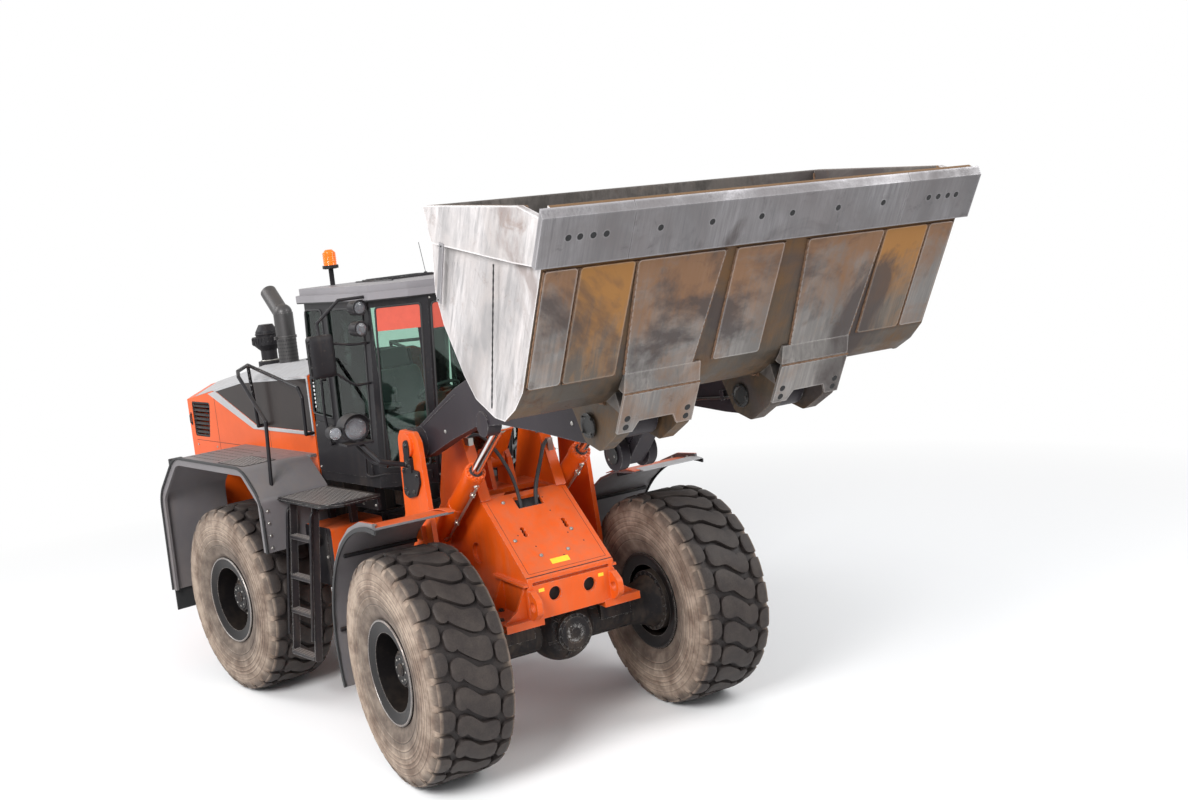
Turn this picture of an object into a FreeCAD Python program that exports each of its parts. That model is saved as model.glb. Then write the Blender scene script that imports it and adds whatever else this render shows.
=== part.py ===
import FreeCAD, Part
import os
from math import radians, degrees, sin, cos, tan, atan2, hypot, pi, sqrt

V = FreeCAD.Vector

# Articulated wheel loader, millimetres.  X forward along the rear body,
# Y to the left, Z up.  Shapes are drawn about the articulation axis
# (x 0, y 0, ground z 0); place() moves them into the shared frame.
# The front body is drawn straight and turned by the rest steer angle.

# sizes
HALF_BASE = 1725.0        # articulation axis to either axle
AXLE_Z = 875.0
TRACK_Y = 1150.0          # tyre centre plane
TYRE_R = 875.0
TYRE_HALF = 337.0
BEAD_R = 318.0
RIM_R = 403.0
REST_STEER = -9.84        # front body turned to the machine's right

ARM_Y = 595.0             # centre plane of each lift arm
ARM_HALF = 50.0
LIFT_Y = 478.0            # centre plane of each lift cylinder, inside the arms
ROD_EYE_HALF = 52.0
NOSE_X = HALF_BASE + 290.0  # front face of the nose plate
NOSE_Y = 375.0            # half width of the front frame's nose
A_PIN = (950.0, 2400.0)   # boom pivot, front body, rest pose
B_PIN = (3980.0, 2830.0)  # bucket hinge at rest
TIP = (4930.0, 4110.0)    # cutting edge tip at rest
FLOOR_DEG = 62.0          # bucket floor angle at rest
H_PIN = (660.0, 1520.0)   # lift cylinder base
G_PIN = (900.0, 2150.0)   # tilt cylinder base
J_BOOM = (1190.0, 75.0)   # lift rod eye, boom frame
C_BOOM = (1720.0, 600.0)  # bellcrank pivot, boom frame
D_LEN = 720.0
D_DEG = 120.0             # bellcrank upper arm, boom frame at rest
E_PIN = (3060.0, 2420.0)  # link lower pin at rest
F_LOCAL = (-1516.0, 579.0)  # link upper pin, bucket frame
BUCKET_RANGE = (-30.0, 141.0)  # degrees of rollback and dump from rest
STEER_PIN_X = 430.0
STEER_PIN_Y = 430.0
STEER_BASE_X = -800.0
STEER_Z = 980.0

PIN_R = 45.0
BORE_R = 45.05            # running fit on the 45 mm pins
BIG_PIN_R = 50.0
BIG_BORE_R = 50.05

BUCKET_HALF = 1490.0
EDGE_HALF = BUCKET_HALF + 60.0
PLATE_T = 12.0             # wear plates under the floor

BOOM_DEG = degrees(atan2(B_PIN[1] - A_PIN[1], B_PIN[0] - A_PIN[0]))
REAR_X = -3760.0
HOOD_HALF = 720.0


# frames of points
def moved_point(origin, deg, x, z, rest):
    a = radians(deg)
    return (origin[0] + x * cos(a) - z * sin(a), origin[1] + x * sin(a) + z * cos(a)) + rest


def boom_pt(x, z, *rest):
    """Point given along and above the line A to B; a corner radius stays."""
    return moved_point(A_PIN, BOOM_DEG, x, z, rest)


def bucket_pt(x, z, *rest):
    """Point given along the bucket floor from the tip and above it."""
    return moved_point(TIP, FLOOR_DEG, x, z, rest)


C_PIN = boom_pt(*C_BOOM)
J_PIN = boom_pt(*J_BOOM)
D_PIN = boom_pt(C_BOOM[0] + D_LEN * cos(radians(D_DEG)), C_BOOM[1] + D_LEN * sin(radians(D_DEG)))
F_PIN = bucket_pt(*F_LOCAL)


def turned(x, y, deg):
    a = radians(deg)
    return (x * cos(a) - y * sin(a), x * sin(a) + y * cos(a))


def frame_offset():
    """Shift that puts the origin at the bottom centre of the bounding box."""
    nose = bucket_pt(-40, -40)[0]
    right = turned(nose, -EDGE_HALF, REST_STEER)
    left = turned(nose, EDGE_HALF, REST_STEER)
    x_mid = 0.5 * (REAR_X + left[0])
    y_mid = 0.5 * (right[1] + TRACK_Y + TYRE_HALF)
    return V(-x_mid, -y_mid, 0.0)


OFFSET = frame_offset()


# solid helpers
def box(x0, x1, y0, y1, z0, z1):
    return Part.makeBox(x1 - x0, y1 - y0, z1 - z0, V(x0, y0, z0))


def rod(p, q, r):
    p, q = V(*p), V(*q)
    return Part.makeCylinder(r, (q - p).Length, p, q - p)


def pin_y(xz, r, y0, y1):
    return Part.makeCylinder(r, y1 - y0, V(xz[0], y0, xz[1]), V(0, 1, 0))


def pin_z(xy, r, z0, z1):
    return Part.makeCylinder(r, z1 - z0, V(xy[0], xy[1], z0), V(0, 0, 1))


def corner_wire(points, lift):
    """Closed wire of lines; a point may carry a corner radius as third value."""
    n = len(points)
    ends = []
    for i in range(n):
        p = points[i]
        r = p[2] if len(p) > 2 else 0.0
        here = V(p[0], p[1], 0)
        if r <= 0:
            ends.append((here, None, here))
            continue
        prev = V(points[i - 1][0], points[i - 1][1], 0)
        nxt = V(points[(i + 1) % n][0], points[(i + 1) % n][1], 0)
        u = (prev - here).normalize()
        w = (nxt - here).normalize()
        half = u.getAngle(w) / 2.0
        run = r / tan(half)
        mid_dir = (u + w).normalize()
        centre = here + mid_dir * (r / sin(half))
        ends.append((here + u * run, centre - mid_dir * r, here + w * run))
    edges = []
    for i in range(n):
        a, m, b = ends[i]
        if m is not None:
            edges.append(Part.Arc(lift(a), lift(m), lift(b)).toShape())
        c = ends[(i + 1) % n][0]
        if (c - b).Length > 1e-6:
            edges.append(Part.makeLine(lift(b), lift(c)))
    return Part.Wire(edges)


def plate_y(points, y0, y1):
    """Outline in X and Z, thick along Y."""
    wire = corner_wire(points, lambda p: V(p.x, y0, p.y))
    return Part.Face(wire).extrude(V(0, y1 - y0, 0))


def plate_z(points, z0, z1):
    """Outline in X and Y, thick along Z."""
    wire = corner_wire(points, lambda p: V(p.x, p.y, z0))
    return Part.Face(wire).extrude(V(0, 0, z1 - z0))


def plate_x(points, x0, x1):
    """Outline in Y and Z, thick along X."""
    wire = corner_wire(points, lambda p: V(x0, p.x, p.y))
    return Part.Face(wire).extrude(V(x1 - x0, 0, 0))


def prismoid(low, high):
    """Solid between two polygons with the same number of corners, flat sides."""
    n = len(low)
    faces = [Part.Face(Part.makePolygon(low + [low[0]])), Part.Face(Part.makePolygon(high + [high[0]]))]
    for i in range(n):
        j = (i + 1) % n
        faces.append(Part.Face(Part.makePolygon([low[i], low[j], high[j], high[i], low[i]])))
    solid = Part.makeSolid(Part.makeShell(faces))
    if solid.Volume < 0:
        solid.reverse()
    return solid


def strap(p, rp, q, rq, y0, y1):
    """Plate round two circles in X and Z, joined by their tangents."""
    dx, dz = q[0] - p[0], q[1] - p[1]
    d = hypot(dx, dz)
    base = atan2(dz, dx)
    lean = atan2(sqrt(max(d * d - (rp - rq) ** 2, 0.0)), rp - rq)
    a1, a2 = base + lean, base - lean

    def at(c, r, a):
        return V(c[0] + r * cos(a), y0, c[1] + r * sin(a))
    edges = [
        Part.makeLine(at(p, rp, a1), at(q, rq, a1)),
        Part.Arc(at(q, rq, a1), at(q, rq, base), at(q, rq, a2)).toShape(),
        Part.makeLine(at(q, rq, a2), at(p, rp, a2)),
        Part.Arc(at(p, rp, a2), at(p, rp, base + pi), at(p, rp, a1)).toShape(),
    ]
    return Part.Face(Part.Wire(edges)).extrude(V(0, y1 - y0, 0))


def join(items):
    if len(items) == 1:
        return items[0]
    return items[0].multiFuse(items[1:]).removeSplitter()


def less(shape, tools):
    for tool in tools:
        shape = shape.cut(tool)
    return shape


def both(shape):
    """The shape and its mirror image across the machine's middle plane."""
    return [shape, shape.mirror(V(0, 0, 0), V(0, 1, 0))]


def both_all(items):
    out = []
    for item in items:
        out += both(item)
    return out


def apart(items):
    solids = []
    for item in items:
        solids += item.Solids
    return Part.makeCompound(solids)


def spin_y(profile, centre):
    """Revolve (radius, y) points about the Y line through centre (x, y, z)."""
    cx, cy, cz = centre
    pts = [V(cx, cy + y, cz + r) for r, y in profile]
    face = Part.Face(Part.makePolygon(pts + [pts[0]]))
    return face.revolve(V(cx, cy, cz), V(0, 1, 0), 360)


def tube_run(points, r):
    """Round bar along straight legs with ball corners."""
    items = [rod(points[i], points[i + 1], r) for i in range(len(points) - 1)]
    items += [Part.makeSphere(r, V(*p)) for p in points[1:-1]]
    return join(items)


def unit(p, q):
    d = hypot(q[0] - p[0], q[1] - p[1])
    return ((q[0] - p[0]) / d, (q[1] - p[1]) / d, d)


def along(p, q, s):
    ux, uz, _ = unit(p, q)
    return (p[0] + ux * s, p[1] + uz * s)


# rear chassis
def rear_frame():
    rail = [(-3300, 950), (-3300, 1350, 60), (-2300, 1350, 60), (-2200, 1420, 60), (-1200, 1420, 60),
            (-1000, 1560), (-700, 1560), (-700, 560), (-1050, 560, 60), (-1240, 860, 60), (-1300, 1150, 60),
            (-2150, 1150, 60), (-2250, 950, 60)]
    items = both(plate_y(rail, 300, 340))
    items.append(box(-740, -700, -340, 340, 560, 1560).cut(rod((-800, 0, 850), (-600, 0, 850), 110)))
    for z0, z1 in ((605, 675), (1465, 1535)):
        tongue = plate_z([(-740, -300), (-740, 300), (-250, 150), (-20, 105), (-20, -105), (-250, -150)], z0, z1)
        items.append(tongue.fuse(pin_z((0, 0), 110, z0, z1)).cut(pin_z((0, 0), 55.05, z0 - 5, z1 + 5)))
    items.append(box(-1200, -740, -300, 300, 560, 590))
    items.append(box(-3300, -3260, -300, 300, 950, 1350))
    for x in (-2900, -1600):
        items.append(box(x, x + 100, -300, 300, 1200, 1250))
    for x in (-2140, -1360):
        items.append(plate_x([(-300, 1250), (-300, 1150), (-200, 720, 60), (200, 720, 60), (300, 1150), (300, 1250)], x, x + 50)
                     .cut(rod((x - 5, 0, AXLE_Z), (x + 55, 0, AXLE_Z), 120)))
    for y0, y1 in ((250, 350), (-350, -250)):
        items.append(box(-900, -760, y0, y1, 1500, 1950))
    items += both(box(-900, 0, 350, 430, 1830, 1950))
    for z0, z1 in ((885, 915), (1045, 1075)):
        items += both(plate_z([(-860, 340), (-860, 500, 40), (-740, 500, 40), (-740, 340)], z0, z1))
    items += both(pin_z((STEER_BASE_X, STEER_PIN_Y), 30, 870, 1090))
    items += both(box(-760, -660, 340, 560, 1300, 1400))
    return join(items)


def counterweight():
    plan = [(-3035, 780), (-3035, 1200, 20), (-3520, 1200, 90), (-3750, 870, 90), (-3760, 500, 40),
            (-3760, -500, 40), (-3750, -870, 90), (-3520, -1200, 90), (-3035, -1200, 20), (-3035, -780),
            (-3300, -780), (-3300, 780)]
    body = plate_z(plan, 950, 1900)
    slope = plate_y([(-3000, 1790), (-3000, 2000), (-3900, 2000), (-3900, 1700), (-3560, 1790)], -1300, -740)
    body = less(body, both(slope))
    recesses = [box(-3800, -3520, -160, 160, 1160, 1300), box(-3800, -3560, -120, 120, 1380, 1740),
                box(-3800, -3540, -120, 120, 900, 1080)]
    return less(body, recesses + [pin_z((-3650, 0), 28, 1000, 1420)])


def engine_block():
    return box(-2950, -1450, -280, 280, 1250, 2350)


def hood_solid(half, drop, grow):
    z0 = 1900 - grow
    side = [(-3740 + drop, z0), (-3740 + drop, 2600 - drop), (-3690 + drop, 2700 - drop),
            (-2400, 2920 - drop), (-1060 + grow, 3000 - drop), (-1060 + grow, z0)]
    body = plate_y(side, -half, half)
    ridge = []
    crest = ((-3900, 2664 - drop), (-2400, 2920 - drop), (-1000, 3003.6 - drop))
    for (x0, z0), (x1, z1) in zip(crest[:-1], crest[1:]):
        ends = [[V(x, y, z + dz) for y, dz in ((450, 0), (800, -147), (800, 400), (450, 400))]
                for x, z in ((x0, z0), (x1, z1))]
        ridge += both(prismoid(ends[0], ends[1]))
    return less(body, ridge)


LOUVRE = [(-3640, 2190, 30), (-3640, 2560, 30), (-3200, 2560, 30), (-3300, 2190, 30)]
LOUVRE_PITCH = 46.0


def hood():
    shell = hood_solid(HOOD_HALF, 0, 0).cut(hood_solid(HOOD_HALF - 20, 20, 30))
    shell = shell.cut(box(-3800, -3700, -520, 520, 2010, 2500))
    shell = less(shell, both(plate_y(LOUVRE, HOOD_HALF - 30, HOOD_HALF + 10)))
    shell = shell.cut(pin_z((-2100, -330), 102, 2700, 3100))
    pad = pin_z((-2500, -330), 115, 2860, 2950)
    return join([shell, pad])


def rear_grille():
    frame = box(-3745, -3715, -520, 520, 2010, 2500).cut(box(-3800, -3700, -480, 480, 2050, 2460))
    bars = [box(-3738, -3722, -480, 480, z, z + 14) for z in range(2080, 2450, 40)]
    bars += [box(-3740, -3720, y - 8, y + 8, 2050, 2460) for y in (-160, 160)]
    return apart([join([frame] + bars)] + both(side_louvres()))


def side_louvres():
    """Slats that fill the opening in the hood's side, in a thin frame."""
    y1 = HOOD_HALF - 3
    filled = plate_y(LOUVRE, y1 - 22, y1)
    inner = plate_y([(-3620, 2210, 20), (-3620, 2540, 20), (-3222, 2540, 20), (-3312, 2210, 20)], y1 - 30, y1 + 5)
    slats = []
    z = 2225.0
    while z < 2530:
        slats.append(plate_x([(y1 - 20, z + 26), (y1 - 20, z + 20), (y1 - 2, z), (y1 - 2, z + 6)], -3640, -3200))
        z += LOUVRE_PITCH
    body = join([filled.cut(inner)] + [slat.common(filled) for slat in slats])
    return body


def exhaust_stack():
    upright = rod((-2100, -330, 2350), (-2100, -330, 3430), 95)
    upright = upright.cut(rod((-2100, -330, 2360), (-2100, -330, 3420), 88))
    bend = rod((-2100, -330, 3400), (-2400, -300, 3640), 80)
    knee = Part.makeSphere(90, V(-2100, -330, 3430))
    band = rod((-2100, -330, 3180), (-2100, -330, 3205), 104)
    band = band.cut(rod((-2100, -330, 3170), (-2100, -330, 3215), 92))
    body = join([upright, bend, knee, band])
    return body.cut(rod((-2160, -324, 3448), (-2440, -296, 3672), 72))


def air_precleaner():
    items = [rod((-2500, -330, 2950), (-2500, -330, 3060), 80)]
    items.append(Part.makeCone(80, 140, 60, V(-2500, -330, 3060)))
    items.append(rod((-2500, -330, 3120), (-2500, -330, 3200), 150))
    items.append(rod((-2500, -330, 3200), (-2500, -330, 3250), 110))
    items.append(Part.makeCone(110, 70, 70, V(-2500, -330, 3250)))
    return join(items)


# cab
CAB_LOW = [(-1020, -640), (-940, -770), (60, -770), (400, -400), (400, 400), (60, 770), (-940, 770), (-1020, 640)]
CAB_TOP = [(-930, -640), (-850, -770), (220, -770), (560, -400), (560, 400), (220, 770), (-850, 770), (-930, 640)]
CAB_Z0, CAB_Z1 = 1950.0, 3560.0
SIDE_Y = 770.0


def inset(points, t):
    """Polygon moved inwards by t, corners mitred (points run anticlockwise)."""
    n = len(points)
    lines = []
    for i in range(n):
        (x0, y0), (x1, y1) = points[i], points[(i + 1) % n]
        d = hypot(x1 - x0, y1 - y0)
        nx, ny = -(y1 - y0) / d, (x1 - x0) / d
        lines.append((nx, ny, nx * x0 + ny * y0 + t))
    out = []
    for i in range(n):
        a, b = lines[i - 1], lines[i]
        det = a[0] * b[1] - a[1] * b[0]
        out.append(((a[2] * b[1] - a[1] * b[2]) / det, (a[0] * b[2] - a[2] * b[0]) / det))
    return out


def cab_level(z, t):
    s = (z - CAB_Z0) / (CAB_Z1 - CAB_Z0)
    pts = [(a[0] + (b[0] - a[0]) * s, a[1] + (b[1] - a[1]) * s) for a, b in zip(CAB_LOW, CAB_TOP)]
    return [V(x, y, z) for x, y in inset(pts, t)]


def cab_block(z0, z1, t):
    return prismoid(cab_level(z0, t), cab_level(z1, t))


def a_post(z):
    """Rear edge of the front corner post at height z."""
    return -20 + (z - 2000) * 0.0994


SIDE_WINDOW = [(-500, 2480, 40), (-480, 3490, 40), (a_post(3490), 3490, 40), (a_post(2330), 2330, 40)]
QUARTER_WINDOW = [(-930, 2560, 40), (-850, 3490, 40), (-565, 3490, 40), (-590, 2520, 40)]
DOOR_HOLE = [(-540, 2010, 30), (-540, 3500, 30), (a_post(3500), 3500, 30), (a_post(2010), 2010, 30)]


def window_tools():
    """Prisms that cut each window: name, solid."""
    tools = [
        ("right", plate_y(SIDE_WINDOW, -900, -600)),
        ("right_rear", plate_y(QUARTER_WINDOW, -900, -600)),
        ("left_rear", plate_y(QUARTER_WINDOW, 600, 900)),
        ("rear", plate_x([(-590, 2560, 40), (-590, 3490, 40), (590, 3490, 40), (590, 2560, 40)], -1100, -800)),
        ("front", plate_x([(-370, 2080, 40), (-370, 3490, 40), (370, 3490, 40), (370, 2080, 40)], 250, 700)),
    ]
    for sign in (1, -1):
        chamfer = Part.makeBox(600, 380, 1370, V(-300, -190, 2120))
        angle = degrees(atan2(370, 340))
        chamfer.rotate(V(0, 0, 0), V(0, 0, 1), 90 - angle if sign > 0 else angle - 90)
        chamfer.translate(V(312, sign * 585, 0))
        tools.append(("corner_left" if sign > 0 else "corner_right", chamfer))
    return tools


def cab_frame():
    shell = cab_block(CAB_Z0, CAB_Z1, 0).cut(cab_block(2000, CAB_Z1 + 0.0, 45))
    tools = [t for _, t in window_tools()]
    door = plate_y(DOOR_HOLE, 700, 900)
    return less(shell, tools + [door])


def cab_glass():
    skin = cab_block(2040, 3540, 14).cut(cab_block(2040, 3540, 24))
    panes = []
    for _, tool in window_tools():
        panes += skin.common(tool).Solids
    return apart([p for p in panes if p.Volume > 1e5])


def cab_roof():
    plan = [(-990, -740, 60), (-900, -820, 60), (300, -820, 60), (520, -560, 80), (640, -300, 80), (640, 300, 80),
            (520, 560, 80), (300, 820, 60), (-900, 820, 60), (-990, 740, 60)]
    low = plate_z(plan, 3560, 3620)
    crown = plate_z([(-960, -720, 60), (-880, -790, 60), (290, -790, 60), (490, -540, 80), (600, -290, 80),
                     (600, 290, 80), (490, 540, 80), (290, 790, 60), (-880, 790, 60), (-960, 720, 60)], 3620, 3680)
    return join([low, crown])


def cab_door():
    g = 8
    leaf = [(-540 + g, 2010 + g, 24), (-540 + g, 3500 - g, 24), (a_post(3500 - g) - g, 3500 - g, 24),
            (a_post(2010 + g) - g, 2010 + g, 24)]
    frame = plate_y(leaf, 735, 770)
    frame = frame.cut(plate_y(DOOR_GLASS, 700, 800))
    items = [frame]
    for z in (2240, 3260):
        items.append(pin_z((-546, 789), 13, z, z + 110))
        items.append(box(-546, -515, 770, 790, z, z + 110))
    items.append(box(-60, 10, 770, 790, 2560, 2590))
    items.append(box(-60, -45, 765, 815, 2440, 2640))
    return join(items)


DOOR_GLASS = [(-470, 2290, 40), (-470, 3430, 40), (a_post(3430) - 70, 3430, 40), (a_post(2290) - 70, 2290, 40)]


def door_glass():
    return plate_y(DOOR_GLASS, 747, 755)


def operator_seat():
    items = [box(-640, -200, -260, 260, 2000, 2140), box(-600, -240, -90, 90, 2140, 2340)]
    items.append(plate_y([(-660, 2300, 30), (-660, 2400), (-140, 2440, 50), (-140, 2320, 30)], -250, 250))
    items.append(plate_y([(-660, 2390), (-760, 3020, 40), (-660, 3060, 40), (-540, 2400)], -240, 240))
    items.append(box(-620, -260, -330, -262, 2520, 2600))
    items.append(box(-620, -260, 262, 330, 2520, 2600))
    items.append(box(-640, -560, -330, 330, 2440, 2540))
    return join(items)


def steering_console():
    items = [plate_y([(120, 2000), (60, 2000), (-60, 2560, 20), (40, 2600, 20), (200, 2060)], -70, 70)]
    ring = Part.makeTorus(180, 14, V(-30, 0, 2680), V(-0.42, 0, 0.91))
    items.append(rod((0, 0, 2560), (-32, 0, 2684), 22))
    bar = rod((-30, -176, 2680), (-30, 176, 2680), 12)
    items += [ring, bar]
    items.append(box(180, 330, -300, -180, 2000, 2700).cut(box(100, 400, -400, -100, 2000, 2120)))
    items.append(box(200, 320, -230, -60, 2000, 2140))
    return join(items)


# rear body outside
FENDER = [(-830, 1430), (-830, 1900, 90), (-1130, 2167, 150), (-2560, 2167, 260), (-3000, 1760, 200), (-3035, 780)]


def offset_path(points, t):
    """Open path moved to its right-hand side by t, corners mitred."""
    n = len(points)
    lines = []
    for i in range(n - 1):
        (x0, z0), (x1, z1) = points[i][:2], points[i + 1][:2]
        d = hypot(x1 - x0, z1 - z0)
        nx, nz = (z1 - z0) / d, -(x1 - x0) / d
        lines.append((nx, nz, nx * x0 + nz * z0 + t))
    out = [(points[0][0] + lines[0][0] * t, points[0][1] + lines[0][1] * t)]
    for i in range(1, n - 1):
        a, b = lines[i - 1], lines[i]
        det = a[0] * b[1] - a[1] * b[0]
        out.append(((a[2] * b[1] - a[1] * b[2]) / det, (a[0] * b[2] - a[2] * b[0]) / det))
    out.append((points[-1][0] + lines[-1][0] * t, points[-1][1] + lines[-1][1] * t))
    return out


def sheet_outline(path, t):
    """Closed outline of a bent sheet: path, then the path moved by t."""
    inner = offset_path(path, t)
    back = []
    for p, q in zip(path, inner):
        r = p[2] if len(p) > 2 else 0.0
        back.append((q[0], q[1], max(r - abs(t), 0.0)) if r else q)
    return list(path) + back[::-1]


def rear_fenders():
    sheet = plate_y(sheet_outline(FENDER, -25), 780, 1450)
    lip = plate_y(sheet_outline(FENDER, -70), 1425, 1450)
    deck = box(-2500, -1080, 720, 780, 2142, 2167)
    return apart(both(join([sheet, lip, deck])))


def service_platforms():
    items = []
    plan = [(-830, 775), (-830, 1290, 20), (-90, 1290, 60), (40, 1130, 60), (40, 775)]
    slab = plate_z(plan, 1865, 1900)
    tank = plate_y([(-790, 1100, 30), (-790, 1620, 30), (-340, 1620, 30), (-340, 1100, 30)], 560, 1080)
    posts = [box(-780, -730, 790, 850, 1620, 1865), box(-400, -350, 790, 850, 1620, 1865)]
    skirt = box(-820, 30, 775, 800, 1760, 1865)
    items += both(join([slab, tank, skirt] + posts))
    return apart(items)


LADDER_FOOT = (1325.0, 545.0)
LADDER_HEAD = (1160.0, 1865.0)


def access_ladders():
    lean = (LADDER_FOOT[0] - LADDER_HEAD[0]) / (LADDER_HEAD[1] - LADDER_FOOT[1])
    items = []
    for x in (-800, -412):
        items.append(plate_x([(LADDER_FOOT[0] - 35, LADDER_FOOT[1] - 60, 20), (LADDER_FOOT[0] + 35, LADDER_FOOT[1] - 60, 20),
                              (LADDER_HEAD[0] + 35, LADDER_HEAD[1]), (LADDER_HEAD[0] - 35, LADDER_HEAD[1])], x, x + 12))
    for z in (520, 886, 1188, 1536):
        y = LADDER_FOOT[0] - (z - LADDER_FOOT[1]) * lean
        items.append(box(-788, -412, y - 40, y + 40, z - 16, z + 16))
    return apart(both(join(items)))


def handrails():
    """Rail round the fender's top, and a grab bar on the cab's side."""
    rail = [(-950, 1270, 1990), (-890, 1270, 2570), (-1310, 1265, 2960), (-1400, 1220, 3000), (-2030, 810, 2985),
            (-1120, 800, 2790), (-1060, 800, 2700), (-1075, 800, 2360), (-1075, HOOD_HALF, 2360)]
    post = [(-2030, 810, 2985), (-2000, 800, 2390), (-2000, HOOD_HALF, 2390)]
    grab = [(-640, SIDE_Y, 2870), (-640, 815, 2870), (-660, 815, 2540), (-610, 815, 2300), (-610, SIDE_Y, 2300)]
    foot = plate_y(sheet_outline(FENDER, -25), 780, 1450)
    items = both(join([tube_run(rail, 17), tube_run(post, 17)]).cut(foot))
    items.append(tube_run([(x, -y, z) for x, y, z in grab], 13))
    return apart(items)


def mirrors():
    arm = tube_run([(250, 820, 3590), (250, 1060, 3590), (110, 1200, 3420), (110, 1200, 3300)], 13)
    head = plate_x([(1090, 2970, 30), (1090, 3320, 30), (1310, 3320, 30), (1310, 2970, 30)], 80, 140)
    return apart(both(join([arm, head])))


def cab_lamps():
    items = []
    for z in (3330, 3505):
        x = 60 + (z - 1950) * 0.0994 - 40
        bracket = box(x - 20, x + 20, 770, 800, z - 20, z + 20)
        can = rod((x - 40, 860, z), (x + 60, 860, z), 62)
        items += both(join([bracket, can]))
    for y in (-500, 500):
        items.append(join([box(-1040, -990, y - 30, y + 30, 3570, 3610), rod((-1110, y, 3590), (-1040, y, 3590), 62)]))
    beacon = [rod((-860, -450, 3680), (-860, -450, 3830), 22), rod((-860, -450, 3830), (-860, -450, 3860), 70)]
    beacon.append(rod((-860, -450, 3860), (-860, -450, 3970), 58))
    beacon.append(Part.makeCone(58, 30, 30, V(-860, -450, 3970)))
    items.append(join(beacon))
    return apart(items)


def tail_lamps():
    lamp = join([box(-3240, -3140, 1120, 1180, 1790, 1900), box(-3260, -3200, 1080, 1220, 1900, 2060)])
    return apart(both(lamp))


def axle_shape(x, ears):
    tube = rod((x, 90 - TRACK_Y, AXLE_Z), (x, TRACK_Y - 90, AXLE_Z), 139)
    bulb = Part.makeSphere(270, V(x, 0, AXLE_Z))
    reach, r = (258, 150) if ears else (300, 119)
    cover = rod((x - 300, 0, AXLE_Z), (x + reach, 0, AXLE_Z), r)
    drums = [rod((x, s * (TRACK_Y - 290), AXLE_Z), (x, s * (TRACK_Y - 100), AXLE_Z), 250) for s in (1, -1)]
    spindle = rod((x, -TRACK_Y - 30, AXLE_Z), (x, TRACK_Y + 30, AXLE_Z), 60)
    return [tube, bulb, cover, spindle] + drums


def rear_axle():
    x = -HALF_BASE
    items = axle_shape(x, False)
    items.append(rod((x - 415, 0, AXLE_Z), (x + 415, 0, AXLE_Z), 120))
    return join(items)


def driveline():
    items = [box(475 - HALF_BASE, -760, -300, 300, 750, 1450)]
    items.append(rod((-760, 0, 850), (-100, 0, 850), 45))
    items.append(rod((-110, 0, 850), (-60, 0, 850), 75))
    return join(items)


# wheels
PITCHES = 26
PITCH = 2 * pi * TYRE_R / PITCHES
TREAD_R = 838.0           # bottom of the grooves
# outlines of the tread blocks: across the tread (mm), round the tyre (pitches)
LUG_HALF = [(-163, -0.05), (-55, -0.13), (25, 0.11), (10, 0.80), (-165, 0.52)]
LUG_TURN = 1.04           # a lug is its half and the same half turned about its middle
EDGE_LUG = [(186, -0.22), (312, -0.38), (312, 0.38), (186, 0.27)]
LUG_MIDDLE = 0.335         # of the first half
FIRST_LUG = 0.13           # puts a corner of a lug on the ground
# height of a lug's flat top, whose corners reach the tyre's size, and across the edge lugs
LUG_TOP = sqrt(TYRE_R ** 2 - (0.465 * PITCH) ** 2)
EDGE_TOPS = {186: TYRE_R - 6.0, 312: TYRE_R - 27.0}


def lug(outline, middle, turn, tops=None):
    """Straight-sided block on the tangent plane over its middle, turned so many pitches."""
    low = [V((u - middle) * PITCH, y, TREAD_R - 40) for y, u in outline]
    high = [V((u - middle) * PITCH, y, tops[abs(y)] if tops else LUG_TOP) for y, u in outline]
    faces = [Part.Face(Part.makePolygon(low + [low[0]])), Part.Face(Part.makePolygon(high + [high[0]]))]
    for i in range(len(low)):
        j = (i + 1) % len(low)
        faces.append(Part.Face(Part.makePolygon([low[i], low[j], high[j], high[i], low[i]])))
    solid = Part.makeSolid(Part.makeShell(faces))
    solid.rotate(V(0, 0, 0), V(0, 1, 0), 360.0 / PITCHES * (turn + middle))
    return solid


def tread_lugs():
    """A diagonal lug in two halves and two edge lugs to each pitch."""
    other_half = [(-y, LUG_TURN - u) for y, u in LUG_HALF]
    left_edge = [(-y, u) for y, u in EDGE_LUG]
    lugs = []
    for k in range(PITCHES):
        turn = k + FIRST_LUG
        lugs.append(lug(LUG_HALF, LUG_MIDDLE, turn))
        lugs.append(lug(other_half, LUG_TURN - LUG_MIDDLE, turn))
        lugs.append(lug(left_edge, 0.0, turn, EDGE_TOPS))
        lugs.append(lug(EDGE_LUG, 0.0, turn + 0.5, EDGE_TOPS))
    return lugs


def make_tyre():
    """One tyre about its own axis: carcass with its tread lugs."""
    half = [(BEAD_R, 280), (RIM_R, 283), (470, 315), (600, 337), (720, 333), (TREAD_R - 20, 300), (TREAD_R, 230)]
    profile = half + [(r, -v) for r, v in half[::-1]]
    return join([spin_y(profile, (0, 0, 0))] + tread_lugs())


TYRES = []


def tyre(x, y):
    if not TYRES:
        TYRES.append(make_tyre())
    shape = TYRES[0].copy()
    if y < 0:
        shape.rotate(V(0, 0, 0), V(0, 0, 1), 180)
    shape.translate(V(x, y, AXLE_Z))
    return shape


def rim(x, y):
    s = 1 if y > 0 else -1
    outer = [(BEAD_R, -280), (RIM_R, -283), (RIM_R, -300), (390, -305), (300, -285), (290, -100), (288, 20), (150, 20),
             (150, -55), (60.05, -55), (60.05, 40), (0, 40), (0, 210), (110, 210), (130, 190), (135, 150),
             (190, 140), (200, 90), (290, 80), (296, 200), (300, 285), (390, 305), (RIM_R, 300), (RIM_R, 283),
             (BEAD_R, 280)]
    profile = [(r, s * v) for r, v in outer]
    body = spin_y(profile, (x, y, AXLE_Z))
    return body


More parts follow.
